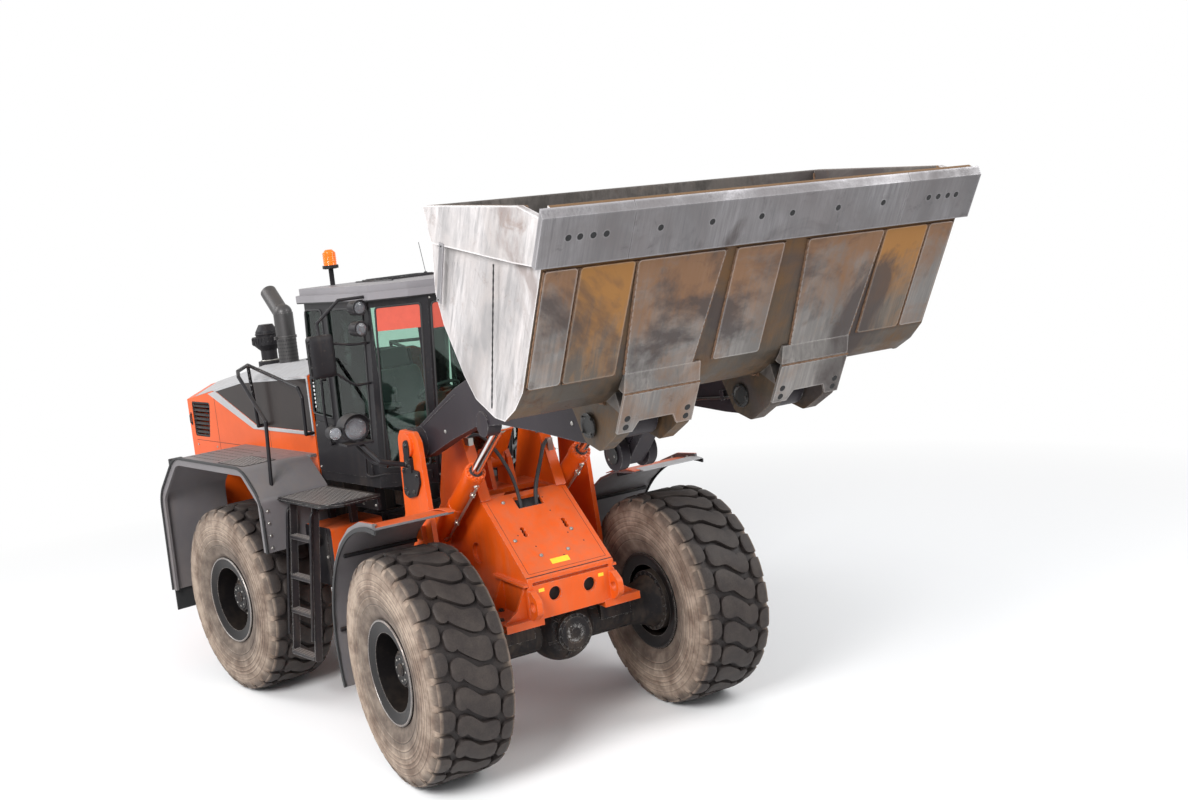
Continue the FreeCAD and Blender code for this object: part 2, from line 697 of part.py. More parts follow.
# front chassis
def front_frame():
    hitch = [(300, 540), (300, 1620), (600, 1880, 60), (760, 1920), (1360, 1900), (1400, 1100), (700, 1075),
             (520, 900), (520, 540)]
    side = [(560, 1300), (560, 1860, 60), (780, 2440, 60), (880, 2520, 60), (1020, 2520, 60), (1120, 2420, 60),
            (1352, 1905), (2015, 1365), (2015, 1075), (1160, 1075), (1080, 1300)]
    items = both(plate_y(hitch, 295, 340))
    items += both(plate_y(side, 340, NOSE_Y).cut(pin_y((1170, 1460), 85, 330, 390)))
    wall = box(300, 335, -300, 300, 540, 1620)
    items.append(wall.cut(rod((250, 0, 850), (400, 0, 850), 110)))
    for z0, z1 in ((560, 600), (680, 720), (1420, 1460), (1540, 1580)):
        fork = plate_z([(335, -300), (335, 300), (0, 120), (0, -120)], z0, z1).fuse(pin_z((0, 0), 120, z0, z1))
        items.append(fork)
    items.append(pin_z((0, 0), 55, 550, 740))
    items.append(pin_z((0, 0), 55, 1410, 1600))
    items.append(box(520, 1380, -300, 300, 1075, 1105))
    items.append(box(760, 1080, -300, 300, 1880, 1920))
    items += both(plate_y([(780, 1900), (800, 2150, 60), (860, 2240, 40), (940, 2240, 40), (1000, 2150, 60),
                           (1060, 1900)], 75, 115))
    items.append(pin_y(G_PIN, PIN_R, -120, 120))
    flange = sheet_outline([(1035, 2545), (1146, 2434, 80), (1384, 1914)], 25)
    items += both(plate_y(flange, 300, 392))
    items.append(front_deck())
    items.append(front_bumper())
    for z0, z1 in ((902, 932), (1028, 1058)):
        items += both(plate_z([(370, 335), (370, 500, 40), (490, 500, 40), (490, 335)], z0, z1))
    return join(items)


def front_deck():
    deck = plate_y([(1340, 1900), (1356, 1921), (2015, 1385), (2015, 1355), (2000, 1355)], -385, 385)
    slot = plate_y([(1400, 1940), (1380, 1860), (1470, 1780), (1500, 1860)], -115, 115)
    deck = deck.cut(slot)
    for y in (-186, 186):
        for x in (1640, 1665, 1690):
            z = 1385 + (2015 - x) * 0.8134
            deck = deck.cut(rod((x - 60, y, z - 74), (x + 60, y, z + 74), 19))
    return deck


def front_bumper():
    """Nose plate with two holes, tie-down eyes, axle pads and their gussets."""
    plate = plate_x([(-NOSE_Y - 15, 1330, 30), (-NOSE_Y - 15, 1060), (NOSE_Y + 15, 1060), (NOSE_Y + 15, 1330, 30)], 1985, 2015)
    plate = less(plate, both(rod((1900, 155, 1234), (2100, 155, 1234), 55)))
    items = [plate, box(1900, 1990, -360, 360, 1320, 1345)]
    eye = [(2015, 1075), (2015, 1300), (2050, 1300, 30), (2135, 1240, 60), (2140, 1140, 60), (2060, 1075, 30)]
    items += both(plate_y(eye, 335, 385).cut(pin_y((2068, 1185), 38, 330, 390)))
    items += both(box(HALF_BASE - 245, NOSE_X + 5, 275, 600, 1015, 1075))
    for x in (1560, 1940):
        items += both(plate_x([(370, 1345), (370, 1070), (590, 1070), (470, 1150, 60)], x, x + 24))
    items += both(box(1480, 2010, 370, 415, 1330, 1350))
    return join(items)


def boom_towers():
    """Outer plates that carry the boom and lift pins, each tied to the inner frame."""
    outer = [(500, 1250), (500, 1640, 40), (700, 1790, 60), (735, 2440, 70), (800, 2510, 60), (1070, 2510, 60),
             (1140, 2440, 70), (1200, 1850, 60), (1250, 1400), (1250, 1250)]
    side = [plate_y(outer, 720, 760), box(560, 1080, NOSE_Y, 722, 1300, 1335)]
    side.append(pin_y(A_PIN, BIG_PIN_R, NOSE_Y, 775))
    side.append(pin_y(A_PIN, 95, 758, 785))
    side.append(pin_y(H_PIN, PIN_R, NOSE_Y, 770))
    side.append(box(970, 1090, 758, 800, 1640, 1760))
    return apart(both(join(side)))


def front_axle():
    x = HALF_BASE
    items = axle_shape(x, True)
    items += both(box(x - 165, x + 165, 300, 580, 880, 1015))
    items.append(rod((90, 0, 850), (x - 225, 0, 850), 45))
    items.append(rod((60, 0, 850), (110, 0, 850), 75))
    items.append(rod((x - 325, 0, AXLE_Z), (x - 225, 0, AXLE_Z), 100))
    return join(items)


def front_fenders():
    items = []
    x, z = HALF_BASE, AXLE_Z
    points = []
    for k in range(0, 9):
        a = radians(88 + k * 14.0)
        points.append((x + 1085 * cos(a), z + 1085 * sin(a)))
    sheet = plate_y(sheet_outline(points, 20), 800, 1455)
    lip = plate_y(sheet_outline(points, 55), 1430, 1455)
    return apart(both(join([sheet, lip])))


def headlamps():
    items = []
    flange = box(880, 1000, 760, 790, 2180, 2300)
    stay = tube_run([(940, 790, 2240), (900, 1000, 2300), (700, 1100, 2470)], 20)
    pod = rod((560, 1100, 2570), (720, 1100, 2570), 105)
    arm = box(640, 700, 1070, 1130, 2440, 2500)
    return apart(both(join([flange, stay, pod, arm])))


# linkage
def lift_arms():
    low = [(-60, -110), (60, -122), (220, -90), (600, -10), (1070, 65), (1500, 50), (1980, -23), (2262, -74),
           (2518, -121), (2800, -160), (3000, -125)]
    top = [(3000, 110), (2800, 82), (2630, 115), (2290, 250), (2130, 345), (1900, 440), (1600, 480), (1300, 468),
           (790, 372), (368, 245), (52, 150), (-80, 110)]
    y0, y1 = ARM_Y - ARM_HALF, ARM_Y + ARM_HALF
    blade = plate_y([boom_pt(*p) for p in low + top], y0, y1)
    items = [blade, pin_y(A_PIN, 130, 535, 705), pin_y(B_PIN, 128, 430, 710)]
    items += [pin_y(J_PIN, 95, y0, y1 + 12), pin_y(J_PIN, 80, LIFT_Y + ROD_EYE_HALF + 3, y0 + 2)]
    side = join(items)
    side = less(side, [pin_y(A_PIN, BIG_BORE_R, 400, 800), pin_y(B_PIN, BIG_BORE_R, 400, 800)])
    parts = both(side)
    parts.append(pin_y(boom_pt(1450, 280), 120, -560, 560))
    shelf = [(1360, 230), (1380, 380), (1610, 680, 60), (1700, 715, 60), (1820, 660, 60), (1820, 540, 60), (1580, 240)]
    parts += both(plate_y([boom_pt(*p) for p in shelf], 130, 170))
    parts.append(pin_y(C_PIN, PIN_R, -175, 175))
    return join(parts)


def bellcrank():
    items = []
    for y0, y1 in ((75, 115), (-115, -75)):
        items.append(strap(C_PIN, 120, D_PIN, 85, y0, y1))
        items.append(strap(C_PIN, 125, E_PIN, 105, y0, y1))
    items.append(pin_y(C_PIN, 100, -120, 120))
    items += both(pin_y(E_PIN, 118, 75, 145))
    items += both(pin_y(E_PIN, 48, 145, 153))
    items += both(pin_y(D_PIN, 62, 115, 128))
    return join(items).cut(pin_y(C_PIN, BORE_R, -130, 130))


def bucket_link():
    body = join([strap(E_PIN, 90, F_PIN, 68, -68, 68)])
    return less(body, [pin_y(E_PIN, 45, -80, 80), pin_y(F_PIN, BORE_R, -80, 80)])


# bucket
SHELL = [(0, 0), (-1100, 0, 120), (-1240, 50, 120), (-1375, 140, 120), (-1420, 250, 120), (-1440, 490, 120),
         (-1380, 660, 120), (-1210, 980, 120), (-1070, 1130, 120), (-590, 1325)]


def bucket():
    wall = 25
    outer = [bucket_pt(*p) for p in SHELL]
    inner = offset_path(SHELL, wall)
    skin = outer + [bucket_pt(*p) for p in inner[::-1]]
    items = [plate_y(skin, -BUCKET_HALF, BUCKET_HALF)]
    cheek = [(-40, 0), (-1100, 0), (-1240, 50), (-1375, 140), (-1420, 250), (-1440, 490), (-1380, 660), (-1210, 980),
             (-1070, 1130), (-590, 1325), (-105, 258), (-145, 157), (-180, 100)]
    items += both(plate_y([bucket_pt(*p) for p in cheek], BUCKET_HALF - 25, BUCKET_HALF))
    ear = [(-1250, 60), (-1330, -30, 40), (-1500, -30, 60), (-1690, 90, 60), (-1730, 260, 80), (-1640, 400, 60),
           (-1440, 760, 60), (-1300, 820)]
    for y0, y1 in ((310, 400), (740, 830)):
        slab = plate_y([bucket_pt(*p) for p in ear], y0, y1)
        items += both(slab)
    rise = [(-1330, 720), (-1415, 430), (-1500, 490, 50), (-1600, 520, 60), (-1600, 640, 60), (-1500, 690, 50),
            (-1290, 810)]
    items += both(plate_y([bucket_pt(*p) for p in rise], 80, 120))
    items += both(pin_y(F_PIN, 62, 120, 132))
    items.append(pin_y(F_PIN, PIN_R, -125, 125))
    inside = plate_y([bucket_pt(*p) for p in offset_closed()], -BUCKET_HALF + 25, BUCKET_HALF - 25)
    body = join(items).cut(inside)
    return join([body] + both(pin_y(B_PIN, BIG_PIN_R, 305, 845)))


def offset_closed():
    """Space inside the shell, bucket frame, reaching out past the mouth."""
    path = offset_path(SHELL, 25)
    return path + [(-500, 1400), (100, 300), (60, 25)]


def cutting_edge():
    blade = plate_y([bucket_pt(*p) for p in ((0, 0), (-40, -40), (-325, -40), (-325, 0))], -EDGE_HALF, EDGE_HALF)
    return blade


def bucket_place(shape):
    """From the bucket's own axes, drawn at the tip, to the rest pose."""
    shape.rotate(V(0, 0, 0), V(0, 1, 0), -FLOOR_DEG)
    shape.translate(V(TIP[0], 0, TIP[1]))
    return shape


# plates under the floor: front and back end, then inner and outer side at each end
FLOOR_PLATES = [
    (-360, -1080, 1270, 1470, 1270, 1470),
    (-360, -1080, 910, 1250, 910, 1250),
    (-360, -1090, 300, 890, 370, 840),
]


def wear_plates():
    side = [(-60, 0), (-330, 0, 30), (-420, 230, 40), (-760, 1170, 40), (-590, 1325), (-105, 258)]
    plate = plate_y([bucket_pt(*p) for p in side], BUCKET_HALF, BUCKET_HALF + 40)
    items = both(plate)
    for x0, x1, a0, a1, b0, b1 in FLOOR_PLATES:
        flat = plate_z([(x0, a0, 20), (x0, a1, 20), (x1, b1, 20), (x1, b0, 20)], -PLATE_T, 0)
        items += both(bucket_place(flat))
    items.append(bucket_place(plate_z([(-360, -220, 20), (-360, 120, 20), (-1090, 120, 20), (-1090, -220, 20)], -PLATE_T, 0)))
    return apart(items)


# cylinders
def cylinder_pair(p, q, y, barrel_r, rod_r, barrel_to, rod_len, eye_half, bore_r, gland_r, neck):
    """Barrel and rod along p to q in a plane of constant y."""
    def at(s):
        x, z = along(p, q, s)
        return (x, y, z)
    total = unit(p, q)[2]
    barrel = join([rod(at(neck), at(barrel_to), barrel_r), rod(at(0.8 * bore_r), at(neck + 5), 0.72 * barrel_r),
                   rod(at(barrel_to - 60), at(barrel_to), gland_r),
                   pin_y(p, 80, y - eye_half, y + eye_half)])
    barrel = less(barrel, [pin_y(p, bore_r, y - 200, y + 200), rod(at(neck + 20), at(barrel_to + 10), rod_r + 0.05)])
    ram = join([rod(at(total - rod_len), at(total - 50), rod_r),
                pin_y(q, 75, y - ROD_EYE_HALF, y + ROD_EYE_HALF)])
    ram = ram.cut(pin_y(q, bore_r, y - 100, y + 100))
    return barrel, ram


def lift_cylinders():
    barrels, rods = [], []
    for y in (LIFT_Y, -LIFT_Y):
        barrel, ram = cylinder_pair(H_PIN, J_PIN, y, 78, 42, 1090, 1165, 70, BORE_R, 86, 95)
        barrels.append(barrel)
        rods.append(ram)
    return apart(barrels), apart(rods)


def tilt_cylinder():
    return cylinder_pair(G_PIN, D_PIN, 0.0, 92, 50, 1380, 1200, 65, BORE_R, 112, 150)


def steer_cylinder(sign):
    """Steering barrel and rod, drawn in the rear body's frame at rest."""
    base = (STEER_BASE_X, sign * STEER_PIN_Y, STEER_Z)
    ex, ey = turned(STEER_PIN_X, sign * STEER_PIN_Y, REST_STEER)
    eye = (ex, ey, STEER_Z)
    d = V(eye[0] - base[0], eye[1] - base[1], 0)
    total = d.Length
    d.normalize()

    def at(s):
        return (base[0] + d.x * s, base[1] + d.y * s, STEER_Z)
    barrel = join([rod(at(40), at(760), 55), rod(at(715), at(760), 60),
                   pin_z(base[:2], 55, STEER_Z - 40, STEER_Z + 40)])
    barrel = less(barrel, [pin_z(base[:2], 30.05, 900, 1060), rod(at(85), at(770), 30.05)])
    ram = join([rod(at(total - 780), at(total - 30), 30), pin_z(eye[:2], 52, STEER_Z - 40, STEER_Z + 40)])
    ram = ram.cut(pin_z(eye[:2], 30, 900, 1060))
    return barrel, ram


# placing
def rear_place(shape):
    moved = shape.copy()
    moved.translate(OFFSET)
    return moved


def front_place(shape):
    moved = shape.copy()
    moved.rotate(V(0, 0, 0), V(0, 0, 1), REST_STEER)
    moved.translate(OFFSET)
    return moved


def nodes():
    """Every node: name, placed shape."""
    lift_barrels, lift_rods = lift_cylinders()
    tilt_barrel, tilt_rod = tilt_cylinder()
    steer_lb, steer_lr = steer_cylinder(1)
    steer_rb, steer_rr = steer_cylinder(-1)
    rear = {
        "rear_frame": rear_frame(),
        "counterweight": counterweight(),
        "engine_block": engine_block(),
        "hood": hood(),
        "rear_grille": rear_grille(),
        "exhaust_stack": exhaust_stack(),
        "air_precleaner": air_precleaner(),
        "cab_frame": cab_frame(),
        "cab_roof": cab_roof(),
        "cab_glass": cab_glass(),
        "operator_seat": operator_seat(),
        "steering_console": steering_console(),
        "rear_fenders": rear_fenders(),
        "service_platforms": service_platforms(),
        "access_ladders": access_ladders(),
        "handrails": handrails(),
        "mirrors": mirrors(),
        "cab_lamps": cab_lamps(),
        "tail_lamps": tail_lamps(),
        "rear_axle": rear_axle(),
        "driveline": driveline(),
        "cab_door": cab_door(),
        "door_glass": door_glass(),
        "tyre_rear_left": tyre(-HALF_BASE, TRACK_Y),
        "rim_rear_left": rim(-HALF_BASE, TRACK_Y),
        "tyre_rear_right": tyre(-HALF_BASE, -TRACK_Y),
        "rim_rear_right": rim(-HALF_BASE, -TRACK_Y),
        "steer_barrel_left": steer_lb,
        "steer_rod_left": steer_lr,
        "steer_barrel_right": steer_rb,
        "steer_rod_right": steer_rr,
    }
    front = {
        "front_frame": front_frame(),
        "boom_towers": boom_towers(),
        "front_axle": front_axle(),
        "front_fenders": front_fenders(),
        "headlamps": headlamps(),
        "tyre_front_left": tyre(HALF_BASE, TRACK_Y),
        "rim_front_left": rim(HALF_BASE, TRACK_Y),
        "tyre_front_right": tyre(HALF_BASE, -TRACK_Y),
        "rim_front_right": rim(HALF_BASE, -TRACK_Y),
        "lift_arms": lift_arms(),
        "bellcrank": bellcrank(),
        "bucket_link": bucket_link(),
        "bucket": bucket(),
        "cutting_edge": cutting_edge(),
        "wear_plates": wear_plates(),
        "lift_barrels": lift_barrels,
        "lift_rods": lift_rods,
        "tilt_barrel": tilt_barrel,
        "tilt_rod": tilt_rod,
    }
    placed = {}
    for name, shape in rear.items():
        placed[name] = rear_place(shape)
    for name, shape in front.items():
        placed[name] = front_place(shape)
    return placed


def write_parts():
    os.makedirs("parts", exist_ok=True)
    for name, shape in nodes().items():
        shape.exportStep("parts/" + name + ".step")


if __name__ == "__main__":
    write_parts()
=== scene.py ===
import math
import random
from math import radians, sin, cos, pi, hypot, atan2

import bmesh
import bpy
from mathutils import Matrix, Vector, noise


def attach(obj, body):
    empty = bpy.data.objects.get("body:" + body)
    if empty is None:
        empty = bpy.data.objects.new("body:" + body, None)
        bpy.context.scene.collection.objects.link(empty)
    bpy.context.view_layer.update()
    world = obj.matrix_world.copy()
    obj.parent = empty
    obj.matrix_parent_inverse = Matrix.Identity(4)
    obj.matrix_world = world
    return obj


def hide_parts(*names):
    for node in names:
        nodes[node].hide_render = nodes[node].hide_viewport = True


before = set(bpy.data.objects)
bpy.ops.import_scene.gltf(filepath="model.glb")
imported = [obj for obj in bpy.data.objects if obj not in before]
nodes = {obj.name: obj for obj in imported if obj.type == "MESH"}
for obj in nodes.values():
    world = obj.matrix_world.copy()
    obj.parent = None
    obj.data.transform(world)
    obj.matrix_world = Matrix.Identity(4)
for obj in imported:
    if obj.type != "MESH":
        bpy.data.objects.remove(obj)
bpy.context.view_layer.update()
rng = random.Random(7)

# Machine frame in metres: X forward along the rear body, Z up.
SHIFT = Matrix.Translation((-0.68933, 0.44277, 0.0))
REAR = SHIFT
FRONT = SHIFT @ Matrix.Rotation(radians(-9.84), 4, "Z")
BOOM_DEG = math.degrees(atan2(0.43, 3.03))
BOOM = FRONT @ Matrix.Translation((0.95, 0, 2.4)) @ Matrix.Rotation(radians(-BOOM_DEG), 4, "Y")
BUCKET = FRONT @ Matrix.Translation((4.93, 0, 4.11)) @ Matrix.Rotation(radians(-62), 4, "Y")
SPACE = {"r": REAR, "f": FRONT, "b": BOOM, "k": BUCKET}
X, Y, Z = Vector((1, 0, 0)), Vector((0, 1, 0)), Vector((0, 0, 1))
# Axles lie AXLE_X ahead of and behind the hinge, at height AXLE_Z; TRACK is half the tread.
AXLE_X, AXLE_Z, TRACK = 1.725, 0.875, 1.15


# materials
def node(tree, kind, **given):
    n = tree.nodes.new(kind)
    for key, value in given.items():
        setattr(n, key, value)
    return n


def mix_shader(tree, fac, a, b):
    """Shader a where fac is 0 and b where it is 1."""
    n = node(tree, "ShaderNodeMixShader")
    for socket, x in zip(n.inputs, (fac, a, b)):
        tree.links.new(x, socket)
    return n.outputs[0]


def seen_rays(tree):
    """1 for camera, mirror and glass rays, which see the studio as white."""
    path = node(tree, "ShaderNodeLightPath")
    seen = path.outputs["Is Camera Ray"]
    for kind in ("Is Glossy Ray", "Is Transmission Ray"):
        either = node(tree, "ShaderNodeMath", operation="MAXIMUM")
        tree.links.new(seen, either.inputs[0])
        tree.links.new(path.outputs[kind], either.inputs[1])
        seen = either.outputs[0]
    return seen


def scaled(colour, k):
    return tuple(min(c * k, 1) for c in colour)


class Nodes:
    """Short calls for the few node kinds that the materials use."""

    def __init__(self, name):
        self.mat = bpy.data.materials.new(name)
        self.mat.use_nodes = True
        self.t = self.mat.node_tree
        self.t.nodes.clear()
        self.out = self.t.nodes.new("ShaderNodeOutputMaterial")
        self.p = self.t.nodes.new("ShaderNodeBsdfPrincipled")
        self.link(self.p.outputs[0], self.out.inputs[0])
        self.co = node(self.t, "ShaderNodeTexCoord").outputs["Object"]
        self.geo = node(self.t, "ShaderNodeNewGeometry")
        self.xyz = node(self.t, "ShaderNodeSeparateXYZ")
        self.link(self.co, self.xyz.inputs[0])
        self.nrm = node(self.t, "ShaderNodeSeparateXYZ")
        self.link(self.geo.outputs["Normal"], self.nrm.inputs[0])

    def link(self, a, b):
        self.t.links.new(a, b)

    def noise(self, scale, detail=5, rough=0.55, stretch=None, distort=0.0, turn=None):
        n = node(self.t, "ShaderNodeTexNoise")
        n.inputs["Scale"].default_value = scale
        n.inputs["Detail"].default_value = detail
        n.inputs["Roughness"].default_value = rough
        n.inputs["Distortion"].default_value = distort
        if stretch:
            m = node(self.t, "ShaderNodeMapping", vector_type="TEXTURE")
            m.inputs["Rotation"].default_value = turn or (0, 0, 0)
            m.inputs["Scale"].default_value = tuple(1 / k for k in stretch)
            self.link(self.co, m.inputs[0])
            self.link(m.outputs[0], n.inputs["Vector"])
        else:
            self.link(self.co, n.inputs["Vector"])
        return n.outputs["Fac"]

    def ramp(self, value, a, b, lo=0.0, hi=1.0):
        n = node(self.t, "ShaderNodeMapRange", clamp=True)
        self.link(value, n.inputs[0])
        for i, x in enumerate((a, b, lo, hi)):
            n.inputs[i + 1].default_value = x
        return n.outputs[0]

    def math(self, op, a, b=0.0, clamp=False):
        n = node(self.t, "ShaderNodeMath", operation=op, use_clamp=clamp)
        for i, x in enumerate((a, b)):
            if isinstance(x, (int, float)):
                n.inputs[i].default_value = x
            else:
                self.link(x, n.inputs[i])
        return n.outputs[0]

    def mix(self, fac, a, b):
        """Colour a where fac is 0 and b where it is 1."""
        n = node(self.t, "ShaderNodeMix", data_type="RGBA")
        self.link(fac, n.inputs[0])
        for i, x in ((6, a), (7, b)):
            if isinstance(x, tuple):
                n.inputs[i].default_value = (*x[:3], 1.0)
            else:
                self.link(x, n.inputs[i])
        return n.outputs[2]

    def edges(self, radius=0.012, lo=0.02, hi=0.25):
        """How near a point is to an edge, from the rounded normal."""
        bev = node(self.t, "ShaderNodeBevel", samples=4)
        bev.inputs[0].default_value = radius
        dot = node(self.t, "ShaderNodeVectorMath", operation="DOT_PRODUCT")
        self.link(bev.outputs[0], dot.inputs[0])
        self.link(self.geo.outputs["True Normal"], dot.inputs[1])
        away = self.math("SUBTRACT", 1.0, dot.outputs["Value"])
        return self.ramp(away, lo, hi)

    def bump(self, height, strength=0.3, distance=0.004):
        b = node(self.t, "ShaderNodeBump")
        b.inputs["Strength"].default_value = strength
        b.inputs["Distance"].default_value = distance
        self.link(height, b.inputs["Height"])
        self.link(b.outputs[0], self.p.inputs["Normal"])

    def set(self, **sockets):
        for key, value in sockets.items():
            name = key.replace("_", " ").title().replace("Ior", "IOR")
            if isinstance(value, (int, float, tuple)):
                self.p.inputs[name].default_value = value
            else:
                self.link(value, self.p.inputs[name])
        return self.mat


DUST = (0.215, 0.155, 0.108)


def paint(name, colour, rough, dust, low, wear, metal=0.0, coat=0.0, grain=0.25, chip=(0.35, 0.34, 0.33)):
    """Painted or moulded surface with dust on upward and low faces and worn edges."""
    n = Nodes(name)
    big = n.noise(1.7, 6, 0.6)
    fine = n.noise(38, 5, 0.7)
    streak = n.noise(5, 4, 0.6, (3.0, 3.0, 0.35))
    up = n.ramp(n.nrm.outputs[2], 0.25, 1.0, 0.0, 0.40)
    deep = n.ramp(n.xyz.outputs[2], 2.2, 0.3, 0.0, low * 0.7)
    amount = n.math("ADD", n.math("ADD", up, deep), n.math("MULTIPLY", n.math("ADD", big, streak), 1.1))
    mask = n.ramp(amount, 1.22, 2.15, 0.0, dust)
    speck = n.ramp(fine, 0.60, 0.72, 0.0, 0.5 * dust)
    mask = n.math("MAXIMUM", mask, speck)
    tone = n.mix(n.ramp(big, 0.3, 0.7), scaled(colour, 0.86), scaled(colour, 1.08))
    tone = n.mix(mask, tone, DUST)
    base_rough = n.ramp(mask, 0.0, 0.6, rough, 0.85)
    if wear:
        worn = n.math("MULTIPLY", n.edges(), n.ramp(n.noise(55, 5, 0.8), 0.62 - 0.3 * wear, 0.66))
        tone = n.mix(worn, tone, chip)
    n.bump(n.math("ADD", fine, n.math("MULTIPLY", mask, 1.5)), grain, 0.0012)
    dim = 0.2 if max(colour) < 0.12 else 0.3
    return n.set(base_color=tone, roughness=base_rough, metallic=metal, coat_weight=coat, coat_roughness=0.12,
        specular_ior_level=dim)


# Turns a pattern along the bucket, as BUCKET does.
TILT = (0, radians(-62), radians(-9.84))


def bare_steel(name, bright, dirt, rust, polish=0.3, streaks=(0.8, 14, 14), dust=0.5, high=0.0, metal=0.75,
               soot=(0.050, 0.038, 0.036)):
    """Steel scoured by gravel: streaks along the bucket, a dirt film, thicker up high, and rust."""
    n = Nodes(name)
    scratch = n.noise(3, 10, 0.72, streaks, 0.0, TILT)
    broad = n.noise(1.1, 5, 0.6, (0.7, 2.4, 2.4), 0.3, TILT)
    cloud = n.noise(2.3, 8, 0.66, None, 0.5)
    fine = n.noise(70, 4, 0.7)
    steel = n.mix(n.ramp(scratch, 0.32, 0.68), scaled(bright, 0.42), bright)
    steel = n.mix(n.ramp(broad, 0.36, 0.62), scaled(bright, 0.45), steel)
    stain = n.ramp(n.noise(1.0, 6, 0.6, None, 0.7), 0.54, 0.63, 0.0, 0.85)
    level = n.math("MULTIPLY", n.ramp(n.xyz.outputs[2], 3.3, 4.15), high)
    film = n.ramp(n.math("ADD", n.math("ADD", cloud, level), n.math("MULTIPLY", scratch, 0.4)), 0.66, 0.95, 0.0,
        dust)
    tone = n.mix(stain, n.mix(film, steel, dirt), soot)
    spots = n.ramp(n.noise(5, 9, 0.75, None, 1.0), 0.58, 0.72, 0.0, 0.7)
    tone = n.mix(spots, tone, rust)
    rubbed = n.edges(0.02, 0.03, 0.3)
    tone = n.mix(n.math("MULTIPLY", rubbed, 0.6), tone, scaled(bright, 1.5))
    cover = n.math("MAXIMUM", n.math("MAXIMUM", film, stain), spots)
    n.bump(n.math("ADD", scratch, n.math("MULTIPLY", fine, 0.4)), 0.4, 0.003)
    return n.set(base_color=tone, metallic=n.ramp(cover, 0.0, 0.8, metal, 0.0),
        roughness=n.ramp(cover, 0.0, 0.8, polish, 0.85))


def plain(name, colour, rough=0.5, metal=0.0, grain=0.15, scale=60, vary=0.12, emit=None, **more):
    n = Nodes(name)
    f = n.noise(scale, 4, 0.6)
    tone = n.mix(n.ramp(f, 0.3, 0.7), scaled(colour, 1 - vary), scaled(colour, 1 + vary))
    n.bump(f, grain, 0.001)
    if emit:
        n.p.inputs["Emission Color"].default_value = (*emit[0], 1)
        n.p.inputs["Emission Strength"].default_value = emit[1]
    return n.set(base_color=tone, roughness=rough, metallic=metal, **more)


def tyre_material():
    n = Nodes("tyre_tread")
    # The dust attribute holds the tyre's dust and, on the sidewall ridges, painted highlight and painted shade.
    tone = node(n.t, "ShaderNodeAttribute", attribute_name="dust").outputs["Fac"]
    blot = n.noise(7, 6, 0.65)
    fine = n.noise(90, 4, 0.7)
    swing = n.math("ADD", n.math("MULTIPLY", tone, 0.9), 0.1)
    amount = n.ramp(n.math("ADD", tone, n.math("MULTIPLY", n.math("SUBTRACT", blot, 0.5), swing)), 0.0, 1.0)
    rubber = n.mix(n.ramp(fine, 0.3, 0.7), (0.012, 0.0095, 0.0095), (0.027, 0.021, 0.020))
    earth = n.mix(n.ramp(blot, 0.35, 0.65), (0.19, 0.132, 0.098), (0.36, 0.285, 0.225))
    n.bump(n.math("ADD", fine, blot), 0.35, 0.002)
    return n.set(base_color=n.mix(amount, rubber, earth), roughness=n.ramp(amount, 0, 1, 0.62, 0.92),
        specular_ior_level=0.35)


ORANGE = (0.68, 0.090, 0.005)
